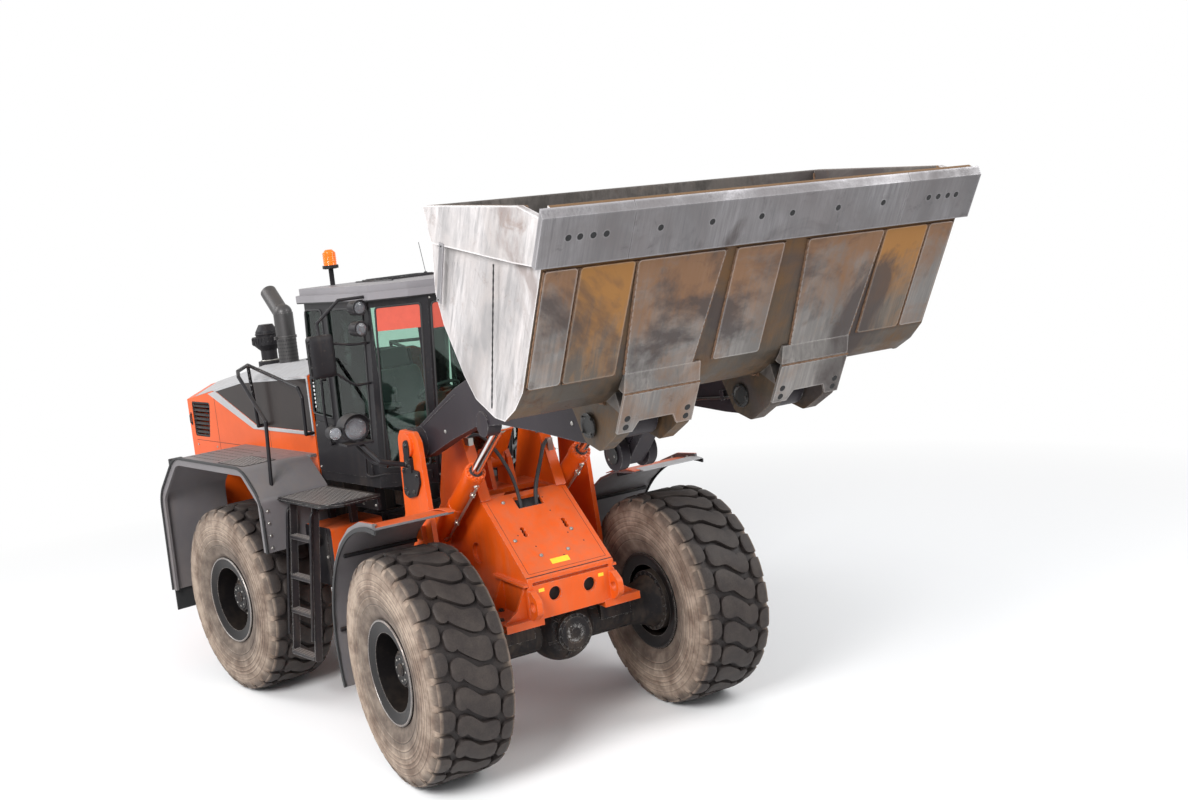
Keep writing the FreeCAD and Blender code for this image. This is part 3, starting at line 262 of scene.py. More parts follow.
# paint: name, colour, roughness, dust, dust low down, edge wear
# bare_steel: name, bright, dirt, rust, roughness, streaks, dust, dust high up, metal, soot
# plain: name, colour, roughness, metal, bump, grain size, variation
M = {
    "orange": paint("orange_paint", ORANGE, 0.36, 0.5, 0.5, 0.45, coat=0.05),
    "orange_hi": paint("orange_paint_clean", ORANGE, 0.34, 0.35, 0.0, 0.3, coat=0.08),
    "charcoal": paint("charcoal_paint", (0.012, 0.011, 0.013), 0.36, 0.22, 0.45, 0.3, coat=0.1),
    "arm": paint("arm_paint", (0.022, 0.018, 0.022), 0.45, 0.3, 0.0, 0.55),
    "plastic": paint("grey_plastic", (0.150, 0.139, 0.144), 0.33, 0.42, 0.6, 0.1, grain=0.4),
    "black": paint("black_plastic", (0.014, 0.013, 0.015), 0.5, 0.3, 0.5, 0.1, grain=0.4),
    "ladder": paint("ladder_paint", (0.026, 0.023, 0.025), 0.42, 0.4, 0.3, 0.9),
    "worn": paint("worn_tread", (0.36, 0.335, 0.32), 0.36, 0.4, 0.0, 0.2, metal=0.4),
    "silver": paint("silver_panel", (0.50, 0.50, 0.51), 0.3, 0.3, 0.0, 0.1, metal=0.55, coat=0.3),
    "grey": paint("light_grey_paint", (0.42, 0.42, 0.43), 0.36, 0.45, 0.0, 0.2),
    "brown": paint("dark_side_panel", (0.020, 0.014, 0.013), 0.3, 0.25, 0.0, 0.0, coat=0.08),
    "cast": paint("cast_iron", (0.016, 0.014, 0.015), 0.58, 0.5, 0.5, 0.5, metal=0.2, grain=0.7),
    "rim": paint("rim_paint", (0.006, 0.005, 0.0052), 0.4, 0.12, 0.15, 0.9, chip=(0.42, 0.38, 0.35)),
    "under": paint("under_paint", (0.024, 0.022, 0.022), 0.6, 0.6, 0.6, 0.4, grain=0.5),
    "bolt": paint("bolt_zinc", (0.34, 0.33, 0.31), 0.35, 0.45, 0.6, 0.2, metal=0.8),
    "bolt_dark": paint("bolt_black", (0.05, 0.05, 0.05), 0.4, 0.5, 0.6, 0.4, metal=0.7),
    "pin": paint("pin_steel", (0.42, 0.40, 0.37), 0.3, 0.5, 0.3, 0.0, metal=0.9),
    "exhaust": paint("exhaust_steel", (0.075, 0.072, 0.072), 0.42, 0.35, 0.0, 0.5, metal=0.6),
    "bucket": bare_steel("bucket_steel", (0.10, 0.075, 0.052), (0.13, 0.062, 0.018), (0.07, 0.026, 0.010), 0.45,
        (0.7, 9, 9), 0.9, 0.35, 0.4),
    "panel": bare_steel("panel_steel", (0.24, 0.20, 0.165), (0.30, 0.135, 0.030), (0.06, 0.038, 0.028), 0.34,
        (0.6, 12, 12), 0.95, 0.75),
    "strip": bare_steel("strip_steel", (0.33, 0.31, 0.295), (0.20, 0.092, 0.034), (0.075, 0.048, 0.036), 0.32,
        (0.6, 14, 14), 0.85, 0.55),
    "edge": bare_steel("edge_steel", (0.30, 0.29, 0.30), (0.14, 0.125, 0.125), (0.055, 0.045, 0.045), 0.36,
        (1.2, 22, 22), 0.7, 0.1, 0.6),
    "cheek": bare_steel("cheek_steel", (0.68, 0.65, 0.65), (0.30, 0.265, 0.25), (0.16, 0.11, 0.09), 0.3,
        (0.9, 8, 8), 0.8, 0.1, 0.55, (0.17, 0.14, 0.13)),
    "inside": bare_steel("inside_steel", (0.22, 0.20, 0.185), (0.10, 0.08, 0.068), (0.09, 0.05, 0.03), 0.38,
        (0.7, 10, 10), 0.8),
    "weld": plain("weld_bead", (0.15, 0.085, 0.05), 0.75, 0.3, 0.8, 40, 0.35),
    "chrome": plain("rod_chrome", (0.72, 0.72, 0.72), 0.12, 1.0, 0.05, 30, 0.06),
    "hose": plain("hose_rubber", (0.022, 0.022, 0.024), 0.55, 0.0, 0.5, 160, 0.25),
    "fitting": plain("hose_fitting", (0.55, 0.53, 0.48), 0.3, 0.9, 0.2, 60, 0.15),
    "yellow": plain("yellow_sheet", (0.80, 0.55, 0.03), 0.45, 0.0, 0.1, 20, 0.1),
    "rubber": plain("black_rubber", (0.018, 0.018, 0.019), 0.65, 0.0, 0.35, 120, 0.2),
    "fabric": plain("seat_cloth", (0.035, 0.036, 0.040), 0.9, 0.0, 0.4, 160, 0.2, sheen_weight=0.3),
    "trim": plain("cab_trim", (0.07, 0.07, 0.074), 0.6, 0.0, 0.2, 60, 0.12),
    # Roof: its own grey lightened to mid grey, partly a painted reflection of the sky.
    "roof": paint("roof_grey_with_painted_reflection", (0.20, 0.19, 0.20), 0.34, 0.35, 0.0, 0.1),
    "strip_red": plain("sun_strip", (0.50, 0.075, 0.045), 0.3, 0.0, 0.05, 20, 0.06),
    # Near-black fill: the colour of seams and joints, and painted shade in holes, slots and vent openings.
    "dark": plain("seam_dark_and_painted_shade", (0.012, 0.012, 0.013), 0.8, 0.0, 0.4, 30, 0.3),
    "lens": plain("lamp_lens", (0.42, 0.43, 0.46), 0.06, 0.0, 0.1, 220, 0.1, transmission_weight=0.75,
        ior=1.45),
    "mirror": plain("reflector", (0.55, 0.55, 0.56), 0.08, 1.0, 0.05, 15, 0.04),
    "red": plain("red_lens", (0.50, 0.012, 0.008), 0.15, 0.0, 0.3, 200, 0.1, coat_weight=0.6),
    "amber": plain("amber_lens", (0.85, 0.17, 0.004), 0.12, 0.0, 0.2, 200, 0.1, transmission_weight=0.25,
        emit=((0.9, 0.16, 0.0), 0.25)),
    "screen": plain("screen_glass", (0.01, 0.012, 0.016), 0.08, 0.0, 0.02, 10, 0.1),
    "tread": tyre_material(),
}


def glass_material():
    n = Nodes("tinted_glass")
    film = n.ramp(n.noise(3.5, 6, 0.65, (2, 2, 0.5)), 0.55, 0.85, 0.0, 0.22)
    n.set(base_color=n.mix(film, (0.50, 0.66, 0.60), (0.42, 0.36, 0.29)),
        roughness=n.ramp(film, 0, 0.3, 0.02, 0.35),
          transmission_weight=1.0, ior=1.12)
    clear = node(n.t, "ShaderNodeBsdfTransparent")
    clear.inputs[0].default_value = (0.76, 0.87, 0.82, 1)
    gloss = node(n.t, "ShaderNodeBsdfGlossy")
    gloss.inputs[0].default_value = (0.9, 0.95, 0.93, 1)
    gloss.inputs["Roughness"].default_value = 0.03
    fres = node(n.t, "ShaderNodeFresnel")
    fres.inputs[0].default_value = 1.45
    see = mix_shader(n.t, fres.outputs[0], clear.outputs[0], gloss.outputs[0])
    n.link(mix_shader(n.t, film, see, n.p.outputs[0]), n.out.inputs[0])
    return n.mat


M["glass"] = glass_material()


# shapes
def smooth_path(points, r=0.05, n=5):
    """Polyline with its corners rounded by arcs of up to radius r."""
    pts = [Vector(p) for p in points]
    out = [pts[0]]
    for a, b, c in zip(pts, pts[1:], pts[2:]):
        u, w = (a - b), (c - b)
        cut = min(r, u.length * 0.48, w.length * 0.48)
        u, w = u.normalized() * cut, w.normalized() * cut
        for i in range(n + 1):
            t = i / n
            out.append(b + u * (1 - t) ** 2 + w * t ** 2)
    return out + [pts[-1]]


def rounded(points, r=0.02, n=3):
    """Closed outline in two numbers, corners cut by short arcs."""
    out = []
    m = len(points)
    for i in range(m):
        a, b, c = (Vector(points[(i + k) % m][:2]) for k in (-1, 0, 1))
        rr = points[i][2] if len(points[i]) > 2 else r
        u, w = a - b, c - b
        cut = min(rr, u.length * 0.48, w.length * 0.48)
        u, w = u.normalized() * cut, w.normalized() * cut
        for k in range(n + 1):
            t = k / n
            out.append(tuple(b + u * (1 - t) ** 2 + w * t ** 2))
    return out


def frame_at(d):
    d = d.normalized()
    side = Vector((0, 0, 1)) if abs(d.z) < 0.9 else Vector((1, 0, 0))
    a = d.cross(side).normalized()
    return a, d.cross(a)


def rect(a0, a1, b0, b1):
    return [(a0, b0), (a1, b0), (a1, b1), (a0, b1)]


AX = {"x": lambda u, v, w: (w, u, v), "y": lambda u, v, w: (u, w, v), "z": lambda u, v, w: (u, v, w)}


class Piece:
    """Gathers faces in one space and turns them into one object that rides on a body."""

    def __init__(self, name, body, space, *mats):
        self.name, self.body = name, body
        self.space = SPACE[space] if isinstance(space, str) else space
        self.mats = [M[m] for m in mats]
        self.v, self.f, self.m, self.tone = [], [], [], []

    def add(self, verts, faces, m=0):
        n = len(self.v)
        self.v += [Vector(p) for p in verts]
        self.f += [[i + n for i in f] for f in faces]
        self.m += [m] * len(faces)

    def skin(self, rings, m=0, caps=True, loop=False):
        k, n = len(rings[0]), len(rings)
        faces = []
        for a in range(n if loop else n - 1):
            b = (a + 1) % n
            faces += [(a * k + i, a * k + (i + 1) % k, b * k + (i + 1) % k, b * k + i) for i in range(k)]
        if caps and not loop:
            faces += [tuple(range(k))[::-1], tuple(range((n - 1) * k, n * k))]
        self.add([p for r in rings for p in r], faces, m)
        return self

    def prism(self, axis, outline, lo, hi, m=0):
        put = AX[axis]
        return self.skin([[put(p[0], p[1], w) for p in outline] for w in (lo, hi)], m)

    def box(self, x0, x1, y0, y1, z0, z1, m=0):
        return self.prism("z", rect(x0, x1, y0, y1), z0, z1, m)

    def lathe(self, p, d, profile, m=0, n=24, caps=True):
        """Profile of (distance along d, radius) turned about the line from p."""
        p, d = Vector(p), Vector(d).normalized()
        a, b = frame_at(d)
        rings = [[p + d * s + a * (r * cos(2 * pi * i / n)) + b * (r * sin(2 * pi * i / n)) for i in range(n)]
            for s, r in profile]
        return self.skin(rings, m, caps)

    def rod(self, p, q, r, m=0, n=16, r2=None):
        d = Vector(q) - Vector(p)
        return self.lathe(p, d, [(0, r), (d.length, r2 or r)], m, n)

    def ring(self, p, d, r, t, m=0, n=28, k=8):
        """Torus-like ring of radius r and section radius t."""
        p, d = Vector(p), Vector(d).normalized()
        a, b = frame_at(d)
        rings = []
        for i in range(n):
            o = a * cos(2 * pi * i / n) + b * sin(2 * pi * i / n)
            rings.append([p + o * (r + t * cos(2 * pi * j / k)) + d * (t * sin(2 * pi * j / k))
                for j in range(k)])
        return self.skin(rings, m, loop=True)

    def tube(self, points, r, m=0, n=10, bend=0.06, steps=5):
        pts = smooth_path(points, bend, steps) if bend else [Vector(p) for p in points]
        d = (pts[1] - pts[0]).normalized()
        a, _ = frame_at(d)
        rings = []
        for i, p in enumerate(pts):
            if 0 < i < len(pts) - 1:
                d = ((pts[i + 1] - p).normalized() + (p - pts[i - 1]).normalized()).normalized()
            elif i:
                d = (p - pts[i - 1]).normalized()
            a = (a - d * a.dot(d)).normalized()
            b = d.cross(a)
            rings.append([p + a * (r * cos(2 * pi * j / n)) + b * (r * sin(2 * pi * j / n)) for j in range(n)])
        return self.skin(rings, m)

    def bolt(self, p, d, r=0.016, m=0, washer=True):
        """Hexagon head on a washer."""
        p, d = Vector(p), Vector(d).normalized()
        if washer:
            self.lathe(p, d, [(-0.002, r * 1.25), (r * 0.22, r * 1.25), (r * 0.22, r * 0.6)], m, 14)
        self.lathe(p, d, [(0, r * 0.98), (r * 0.75, r * 0.98), (r * 0.92, r * 0.8)], m, 6)
        return self

    def bolts(self, points, d, r=0.016, m=0, washer=True):
        for p in points:
            self.bolt(p, d, r, m, washer)
        return self

    def bolt_ring(self, p, d, radius, count, r=0.012, m=0, start=0.0):
        p, d = Vector(p), Vector(d).normalized()
        a, b = frame_at(d)
        for i in range(count):
            t = start + 2 * pi * i / count
            self.bolt(p + a * (radius * cos(t)) + b * (radius * sin(t)), d, r, m, False)
        return self

    def weld(self, points, r=0.006, m=0):
        """Wavy bead along a seam."""
        pts = [Vector(p) for p in points]
        dense = [pts[0]]
        for a, b in zip(pts, pts[1:]):
            k = max(2, int((b - a).length / 0.022))
            dense += [a.lerp(b, (i + 1) / k) for i in range(k)]
        d = (dense[1] - dense[0]).normalized()
        a, _ = frame_at(d)
        rings = []
        for i, p in enumerate(dense):
            rr = r * (1.0 + 0.22 * (-1) ** i + 0.1 * rng.random())
            if i:
                d = (p - dense[i - 1]).normalized()
            a = (a - d * a.dot(d)).normalized()
            b = d.cross(a)
            rings.append([p + a * (rr * cos(pi * j / 3)) + b * (rr * sin(pi * j / 3)) for j in range(6)])
        return self.skin(rings, m)

    def loop(self, points, r, m=0, n=6):
        """Closed bead along a ring of points."""
        pts = [Vector(p) for p in points]
        k = len(pts)
        rings = []
        for i, p in enumerate(pts):
            d = ((pts[(i + 1) % k] - p).normalized() + (p - pts[i - 1]).normalized()).normalized()
            a, b = frame_at(d)
            if i and a.dot(last) < 0:
                a, b = -a, -b
            last = a
            rings.append([p + a * (r * cos(2 * pi * j / n)) + b * (r * sin(2 * pi * j / n)) for j in range(n)])
        return self.skin(rings, m, loop=True)

    def patch(self, axis, outline, at, t, m=0, r=0.0):
        """Thin plate from at to at + t along an axis, corners cut by r."""
        return self.prism(axis, rounded(outline, r) if r else outline, at, at + t, m)

    def studs(self, points, d, r, h, m=0, n=6):
        """Many low domes or heads."""
        for p in points:
            self.lathe(p, d, [(-0.002, r), (h * 0.6, r), (h, r * 0.55)], m, n)
        return self

    def mirror(self):
        """Adds the mirror image across the middle plane."""
        n = len(self.v)
        self.v += [Vector((p.x, -p.y, p.z)) for p in self.v]
        self.f += [[i + n for i in f] for f in self.f]
        self.m += list(self.m)
        return self

    def done(self, bevel=0.0, smooth=38, slot=None, seg=2):
        me = bpy.data.meshes.new(self.name)
        me.from_pydata([self.space @ p for p in self.v], [], self.f)
        for m in self.mats:
            me.materials.append(m)
        me.polygons.foreach_set("material_index", self.m)
        bm = bmesh.new()
        bm.from_mesh(me)
        bmesh.ops.recalc_face_normals(bm, faces=bm.faces)
        bm.to_mesh(me)
        bm.free()
        me.shade_smooth()
        me.set_sharp_from_angle(angle=radians(smooth))
        # Per-point dust values; on the tyre sidewall they also hold painted highlight and shade at the ridges.
        if self.tone:
            me.attributes.new("dust", "FLOAT", "POINT").data.foreach_set("value", self.tone)
        o = bpy.data.objects.new(self.name, me)
        bpy.context.scene.collection.objects.link(o)
        if bevel:
            b = o.modifiers.new("edges", "BEVEL")
            b.width, b.segments, b.limit_method, b.angle_limit = bevel, seg, "ANGLE", radians(40)
        if self.body:
            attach(o, self.body)
        return o


def hose(name, route, diameter):
    """A free hose on the front frame, a smooth spline held by its route."""
    curve = bpy.data.curves.new(name, "CURVE")
    curve.dimensions, curve.resolution_u, curve.bevel_resolution = "3D", 16, 3
    spline = curve.splines.new("NURBS")
    spline.points.add(len(route) - 1)
    for knot, p in zip(spline.points, route):
        knot.co = (*(FRONT @ Vector(p)), 1)
    spline.order_u = 3
    spline.use_endpoint_u = True
    o = bpy.data.objects.new(name, curve)
    bpy.context.scene.collection.objects.link(o)
    bpy.context.view_layer.update()
    line = [v.co.copy() for v in bpy.data.meshes.new_from_object(o).vertices]
    curve.bevel_depth = diameter / 2
    curve.materials.append(M["hose"])
    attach(o, "front_chassis")


# finishes on the solids
def dress(name, mats, rule=None, bevel=0.004):
    """Gives a solid its materials; rule(centre, normal) picks one for each face."""
    o = nodes[name]
    me = o.data
    me.materials.clear()
    for m in mats:
        me.materials.append(M[m])
    if rule:
        me.polygons.foreach_set("material_index", [rule(p.center, p.normal) for p in me.polygons])
    else:
        me.polygons.foreach_set("material_index", [0] * len(me.polygons))
    if "custom_normal" in me.attributes:
        me.attributes.remove(me.attributes["custom_normal"])
    me.shade_smooth()
    w = o.modifiers.new("weld", "WELD")
    w.merge_threshold = 0.00004
    if bevel:
        b = o.modifiers.new("edges", "BEVEL")
        b.width, b.segments, b.limit_method, b.angle_limit = bevel, 2, "ANGLE", radians(38)
        b.use_clamp_overlap, b.harden_normals = True, False
    s = o.modifiers.new("normals", "WEIGHTED_NORMAL")
    s.keep_sharp, s.weight = True, 90


def local(space):
    back = SPACE[space].inverted()
    turn = back.to_3x3()
    return lambda c, n: (back @ c, turn @ n)


to_bucket = local("k")


def bucket_rule(c, n):
    p, q = to_bucket(c, n)
    if abs(p.y) > 1.489:
        return 2
    inside = -1.42 < p.x < -0.02 and 0.02 < p.z and abs(p.y) < 1.468
    if inside and (abs(q.y) > 0.9 or q.z > 0.2 or q.x > 0.2 or (p.z > 0.9 and q.z < -0.2 and q.x < 0.75)):
        if p.x > -1.39 or q.x > 0.3:
            return 1
    return 0


def plate_rule(c, n):
    p, _ = to_bucket(c, n)
    return 0 if abs(p.y) > 1.489 else 2 if 0.905 < abs(p.y) < 1.255 else 1


to_front = local("f")


def fender_rule(c, n):
    p, q = to_front(c, n)
    dx, dz = p.x - AXLE_X, p.z - AXLE_Z
    a = math.degrees(atan2(dz, dx)) % 360
    if q.x * dx + q.z * dz < 0.4 or a > 130:
        return 0
    return 1 if a < 116 else 2


def tank_rule(c, n):
    return 1 if c.z < 1.63 and c.x < -1.0 and abs(c.y - 0.4428) < 1.079 else 0


def lamp_rule(c, n):
    return 1 if c.z > 3.866 else 0


SIMPLE = {
    "rear_frame": "charcoal", "counterweight": "orange", "engine_block": "under", "rear_grille": "black",
    "exhaust_stack": "exhaust", "air_precleaner": "black", "cab_frame": "charcoal", "cab_roof": "roof",
    "cab_glass": "glass", "operator_seat": "fabric", "steering_console": "trim", "rear_fenders": "plastic",
    "service_platforms": "charcoal", "access_ladders": "ladder", "handrails": "charcoal", "mirrors": "black",
    "cab_lamps": "black", "tail_lamps": "black", "rear_axle": "cast", "driveline": "under", "cab_door": "charcoal",
    "door_glass": "glass", "front_frame": "orange", "boom_towers": "orange", "front_axle": "cast",
    "front_fenders": "plastic", "headlamps": "black", "lift_arms": "arm", "bellcrank": "arm", "bucket_link": "arm",
    "cutting_edge": "edge", "wear_plates": "cheek", "lift_barrels": "orange_hi", "tilt_barrel": "orange_hi",
    "steer_barrel_left": "cast", "steer_barrel_right": "cast", "lift_rods": "chrome", "tilt_rod": "chrome",
    "steer_rod_left": "chrome", "steer_rod_right": "chrome",
}
for name, key in SIMPLE.items():
    thin = key in ("glass", "chrome") or name in ("rear_grille", "handrails", "mirrors", "cab_lamps")
    dress(name, [key], None, 0.0 if thin else 0.005)
for end in ("rear", "front"):
    for side in ("left", "right"):
        dress("rim_%s_%s" % (end, side), ["rim"], None, 0.004)
dress("bucket", ["bucket", "inside", "cheek"], bucket_rule, 0.004)
dress("wear_plates", ["cheek", "strip", "panel"], plate_rule, 0.003)
dress("cab_lamps", ["black", "amber"], lamp_rule, 0.0)
dress("front_fenders", ["plastic", "orange", "grey"], fender_rule, 0.003)
dress("service_platforms", ["charcoal", "orange"], tank_rule, 0.006)
dress("hood", ["orange_hi"], None, 0.012)


# tyres
PITCHES = 26
STEP = 2 * pi / PITCHES


def crown(y):
    pts = [(0.0, 0.875), (0.16, 0.875), (0.25, 0.868), (0.292, 0.855), (0.312, 0.810)]
    y = abs(y)
    for (a, ra), (b, rb) in zip(pts, pts[1:]):
        if y <= b:
            return ra + (rb - ra) * (y - a) / (b - a)
    return 0.81


def ring_side():
    """Half profile from the bead to the middle of the tread: y, radius, and a dust value that also holds painted
    highlight on the sidewall ridges and painted shade just outside them.
    """
    pts = [(0.262, 0.335, 0.2), (0.278, 0.372, 0.25), (0.283, 0.403, 0.3), (0.298, 0.425, 0.34),
        (0.306, 0.445, 0.42)]
    base = [(0.470, 0.313), (0.52, 0.3235), (0.60, 0.334), (0.66, 0.3365), (0.72, 0.333), (0.78, 0.322),
        (0.81, 0.308), (0.825, 0.292)]
    ridges = (0.515, 0.575, 0.63, 0.668, 0.70, 0.752)
    r = 0.472
    while r < 0.80:
        for (a, ya), (b, yb) in zip(base, base[1:]):
            if a <= r <= b:
                y = ya + (yb - ya) * (r - a) / (b - a)
        line = 0.0
        # Each ridge gets a lighter value, a painted highlight, and the band just outside it a darker one, painted
        # shade.
        for k in ridges:
            if abs(r - k) < 0.0045:
                y, line = y + 0.0042, 0.25
            elif 0.0045 < r - k < 0.011:
                line = -0.38
        band = 0.38 + 0.42 * min(1, max(0, (r - 0.5) / 0.16))
        pts.append((y, r, band + line))
        r += 0.0055
    pts += [(0.307, 0.806, 0.92), (0.296, 0.820, 0.8), (0.27, 0.829, 0.3), (0.23, 0.834, 0.03),
        (0.15, 0.837, 0.0), (0.07, 0.837, 0.0)]
    return pts


# Columns of a tread block: place across the tread, then its two sides in pitches.
S_COLUMNS = [(-0.575, 0.10, 0.42), (-0.545, -0.04, 0.56), (-0.47, -0.13, 0.66), (-0.34, -0.15, 0.70),
    (-0.22, -0.12, 0.69),
             (-0.10, -0.02, 0.72), (0.0, 0.08, 0.84), (0.10, 0.18, 0.98), (0.20, 0.30, 1.10), (0.27, 0.40,
                 1.15),
             (0.31, 0.47, 1.18), (0.37, 0.42, 1.19), (0.46, 0.42, 1.18), (0.535, 0.50, 1.10), (0.58, 0.62,
                 0.96)]
EDGE_COLUMNS = [(0.635, -0.10, 0.18), (0.67, -0.25, 0.30), (0.73, -0.35, 0.37), (0.82, -0.385, 0.40),
    (0.92, -0.385, 0.40), (1.0, -0.37, 0.39)]


def lug(piece, columns, at, rows=6):
    """One tread block: a curved top with rounded rim and sloping flanks."""
    n = len(columns)
    grid = []
    for i, (v, a, b) in enumerate(columns):
        for j in range(rows):
            u = a + (b - a) * j / (rows - 1)
            rim = i in (0, n - 1) or j in (0, rows - 1)
            y = v * 0.292
            wob = noise.noise(Vector((v * 9, u * 7, at * 3.1))) * 0.0022
            dust = 0.62 if i == n - 1 and v in (1.0, -1.0) else 0.05
            grid.append((y, (u + at) * STEP, crown(y) - (0.0055 if rim else 0.0) + wob - 0.001, dust))
    start = len(piece.v)
    faces = [(i * rows + j, i * rows + j + 1, (i + 1) * rows + j + 1, (i + 1) * rows + j)
             for i in range(n - 1) for j in range(rows - 1)]
    loop = [j for j in range(rows)] + [i * rows + rows - 1 for i in range(1, n)]
    loop += [(n - 1) * rows + j for j in range(rows - 2, -1, -1)] + [i * rows for i in range(n - 2, 0, -1)]
    cy, ct = (sum(grid[k][c] for k in loop) / len(loop) for c in (0, 1))
    low = []
    for k in loop:
        y, t, r, _ = grid[k]
        dy, dt = y - cy, (t - ct) * 0.85
        d = max(hypot(dy, dt), 1e-6)
        grow = 0.004 / d
        y2 = y + dy * grow
        base = 0.832 if abs(y2) < 0.26 else 0.832 - (abs(y2) - 0.26) * 0.9
        low.append((y2, t + dt * grow / 0.85, min(base, r - 0.012), 0.0))
    m = len(loop)
    faces += [(loop[k], loop[(k + 1) % m], n * rows + (k + 1) % m, n * rows + k) for k in range(m)]
    piece.add([(r * sin(t), y, r * cos(t)) for y, t, r, _ in grid + low], faces, 0)
    piece.tone += [p[3] for p in grid + low]

# Outline of a shoulder rib: y, radius.
SHOULDER = [(0.290, 0.846), (0.312, 0.812), (0.3245, 0.775), (0.30, 0.77), (0.28, 0.80)]


def build_tyre():
    t = Piece("tyre", None, Matrix.Identity(4), "tread")
    half = ring_side()
    profile = [(y, r, w) for y, r, w in half] + [(-y, r, w) for y, r, w in half[::-1]]
    k = 132
    rings = []
    for i in range(k):
        a = 2 * pi * i / k
        rings.append([(r * sin(a), y, r * cos(a)) for y, r, w in profile])
    t.skin(rings, 0, loop=True)
    t.tone += [w for _ in range(k) for _, _, w in profile]
    for i in range(PITCHES):
        lug(t, S_COLUMNS, i)
        lug(t, EDGE_COLUMNS, i + 0.12, 5)
        lug(t, [(-v, a, b) for v, a, b in EDGE_COLUMNS], i + 0.0, 5)
        for s in (1, -1):
            a = (i + (0.12 if s > 0 else 0.0)) * STEP
            t.skin([[(r * sin(b), s * y, r * cos(b)) for y, r in SHOULDER]
                for b in (a - 0.36 * STEP, a + 0.36 * STEP)])
            t.tone += [0.25, 0.45, 0.85, 0.85, 0.4] * 2
    return t.done(smooth=42)


tyre = build_tyre()
WHEELS = {"rear_left": (-AXLE_X, TRACK, "r"), "rear_right": (-AXLE_X, -TRACK, "r"),
          "front_left": (AXLE_X, TRACK, "f"), "front_right": (AXLE_X, -TRACK, "f")}
for i, (where, (x, y, space)) in enumerate(WHEELS.items()):
    o = tyre if i == 0 else bpy.data.objects.new("tyre", tyre.data)
    if i:
        bpy.context.scene.collection.objects.link(o)
    o.name = "treaded_tyre_" + where
    spin = Matrix.Rotation(0.37 * i + 0.2, 4, "Y")
    flip = Matrix.Rotation(pi if y < 0 else 0, 4, "Z")
    o.matrix_world = SPACE[space] @ Matrix.Translation((x, y, AXLE_Z)) @ spin @ flip
    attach(o, "wheel_" + where)
    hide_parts("tyre_" + where)
    s = 1 if y > 0 else -1
    hub = SPACE[space] @ Matrix.Translation((x, 0, AXLE_Z))
    w = Piece("wheel_hub_" + where, "wheel_" + where, hub, "rim", "bolt", "cast", "strip")
    w.lathe((0, y + s * 0.125, 0), Y * s,
        [(0, 0.20), (0.02, 0.196), (0.03, 0.15), (0.06, 0.142), (0.075, 0.128)], 2, 40)
    for out, radius, count, size in ((0.088, 0.245, 20, 0.017), (0.152, 0.172, 12, 0.010),
            (0.205, 0.085, 8, 0.009)):
        w.bolt_ring((0, y + s * out, 0), Y * s, radius, count, size, 1)
    w.lathe((0, y + s * 0.205, 0), Y * s, [(0, 0.05), (0.012, 0.048), (0.02, 0.03)], 2, 20)
    w.ring((0, y + s * 0.3, 0), Y, 0.393, 0.0085, 3, 72, 6)
    w.ring((0, y + s * 0.285, 0), Y, 0.352, 0.006, 0, 60, 6)
    w.tube([(0.31, y + s * 0.13, 0.02), (0.325, y + s * 0.19, 0.02), (0.335, y + s * 0.235, 0.03)], 0.006, 1, 8,
        0.02)
    w.done(0.0, 40, "rim_paint")


# bucket, drawn along its floor
EDGE = [(-0.001, 0.0), (-0.04, -0.04), (-0.325, -0.04), (-0.325, 0.0)]
e = Piece("edge_plates", "shovel", "k", "edge", "dark", "weld")
for y0, y1 in ((-1.55, -0.9865), (-0.9835, 0.9585), (0.9615, 1.55)):
    e.prism("y", EDGE, y0, y1)
for y in (-0.81, -0.47, -0.13, 0.09, 0.43, 0.78) + tuple(s * v for s in (1, -1)
        for v in (1.15, 1.23, 1.31, 1.38)):
    e.lathe((-0.16, y, -0.0402), -Z, [(0, 0.0235), (0.0012, 0.0225), (0.0005, 0.019)], 0, 20)
    # Dark disc in each bolt hole: painted shade in the hole.
    e.lathe((-0.16, y, -0.0395), -Z, [(0, 0.019), (0.0014, 0.0185)], 1, 20)
o = e.done(0.0025, 30, "worn_steel")
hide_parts("cutting_edge")
w = Piece("bucket_welds", "shovel", "k", "weld")
w.weld([(-0.329, -1.48, -0.004), (-0.329, 1.48, -0.004)], 0.010)
for y0, y1 in ((0.91, 1.25), (1.27, 1.47)):
    w.weld([(-0.362, y0 - 0.002, -0.004), (-1.08, y0 - 0.002, -0.004), (-1.082, y1, -0.004),
        (-0.362, y1 + 0.002, -0.004)], 0.007)
w.weld([(-0.362, 0.298, -0.004), (-1.09, 0.368, -0.004)], 0.008)
w.weld([(-0.362, 0.892, -0.004), (-1.09, 0.842, -0.004)], 0.008)
w.weld([(-0.045, 1.493, 0.004), (-0.33, 1.493, 0.004), (-0.422, 1.493, 0.23), (-0.762, 1.493, 1.17),
    (-0.6, 1.493, 1.318)], 0.008)
w.weld([(-0.06, 1.462, 0.03), (-1.1, 1.462, 0.035), (-1.22, 1.462, 0.085), (-1.34, 1.462, 0.17),
    (-1.39, 1.462, 0.27),
        (-1.41, 1.462, 0.48), (-1.355, 1.462, 0.65), (-1.19, 1.462, 0.965), (-1.05, 1.462, 1.11), (-0.60, 1.462,
            1.295)], 0.009)
for y in (0.305, 0.405, 0.735, 0.835):
    w.weld([(-1.37, y, 0.13), (-1.425, y, 0.25), (-1.445, y, 0.49), (-1.385, y, 0.66), (-1.31, y, 0.80)], 0.011)
w.mirror()
w.weld([(-0.362, -0.222, -0.004), (-1.09, -0.222, -0.004)], 0.007)
w.weld([(-0.362, 0.122, -0.004), (-1.09, 0.122, -0.004)], 0.007)
w.weld([(-1.064, -1.46, 1.105), (-1.064, 1.46, 1.105)], 0.007)
w.done(0, 60, "worn_steel")
w = Piece("cheek_details", "shovel", "f", "dark", "panel", "bolt_dark", "edge")
FACE = 1.530
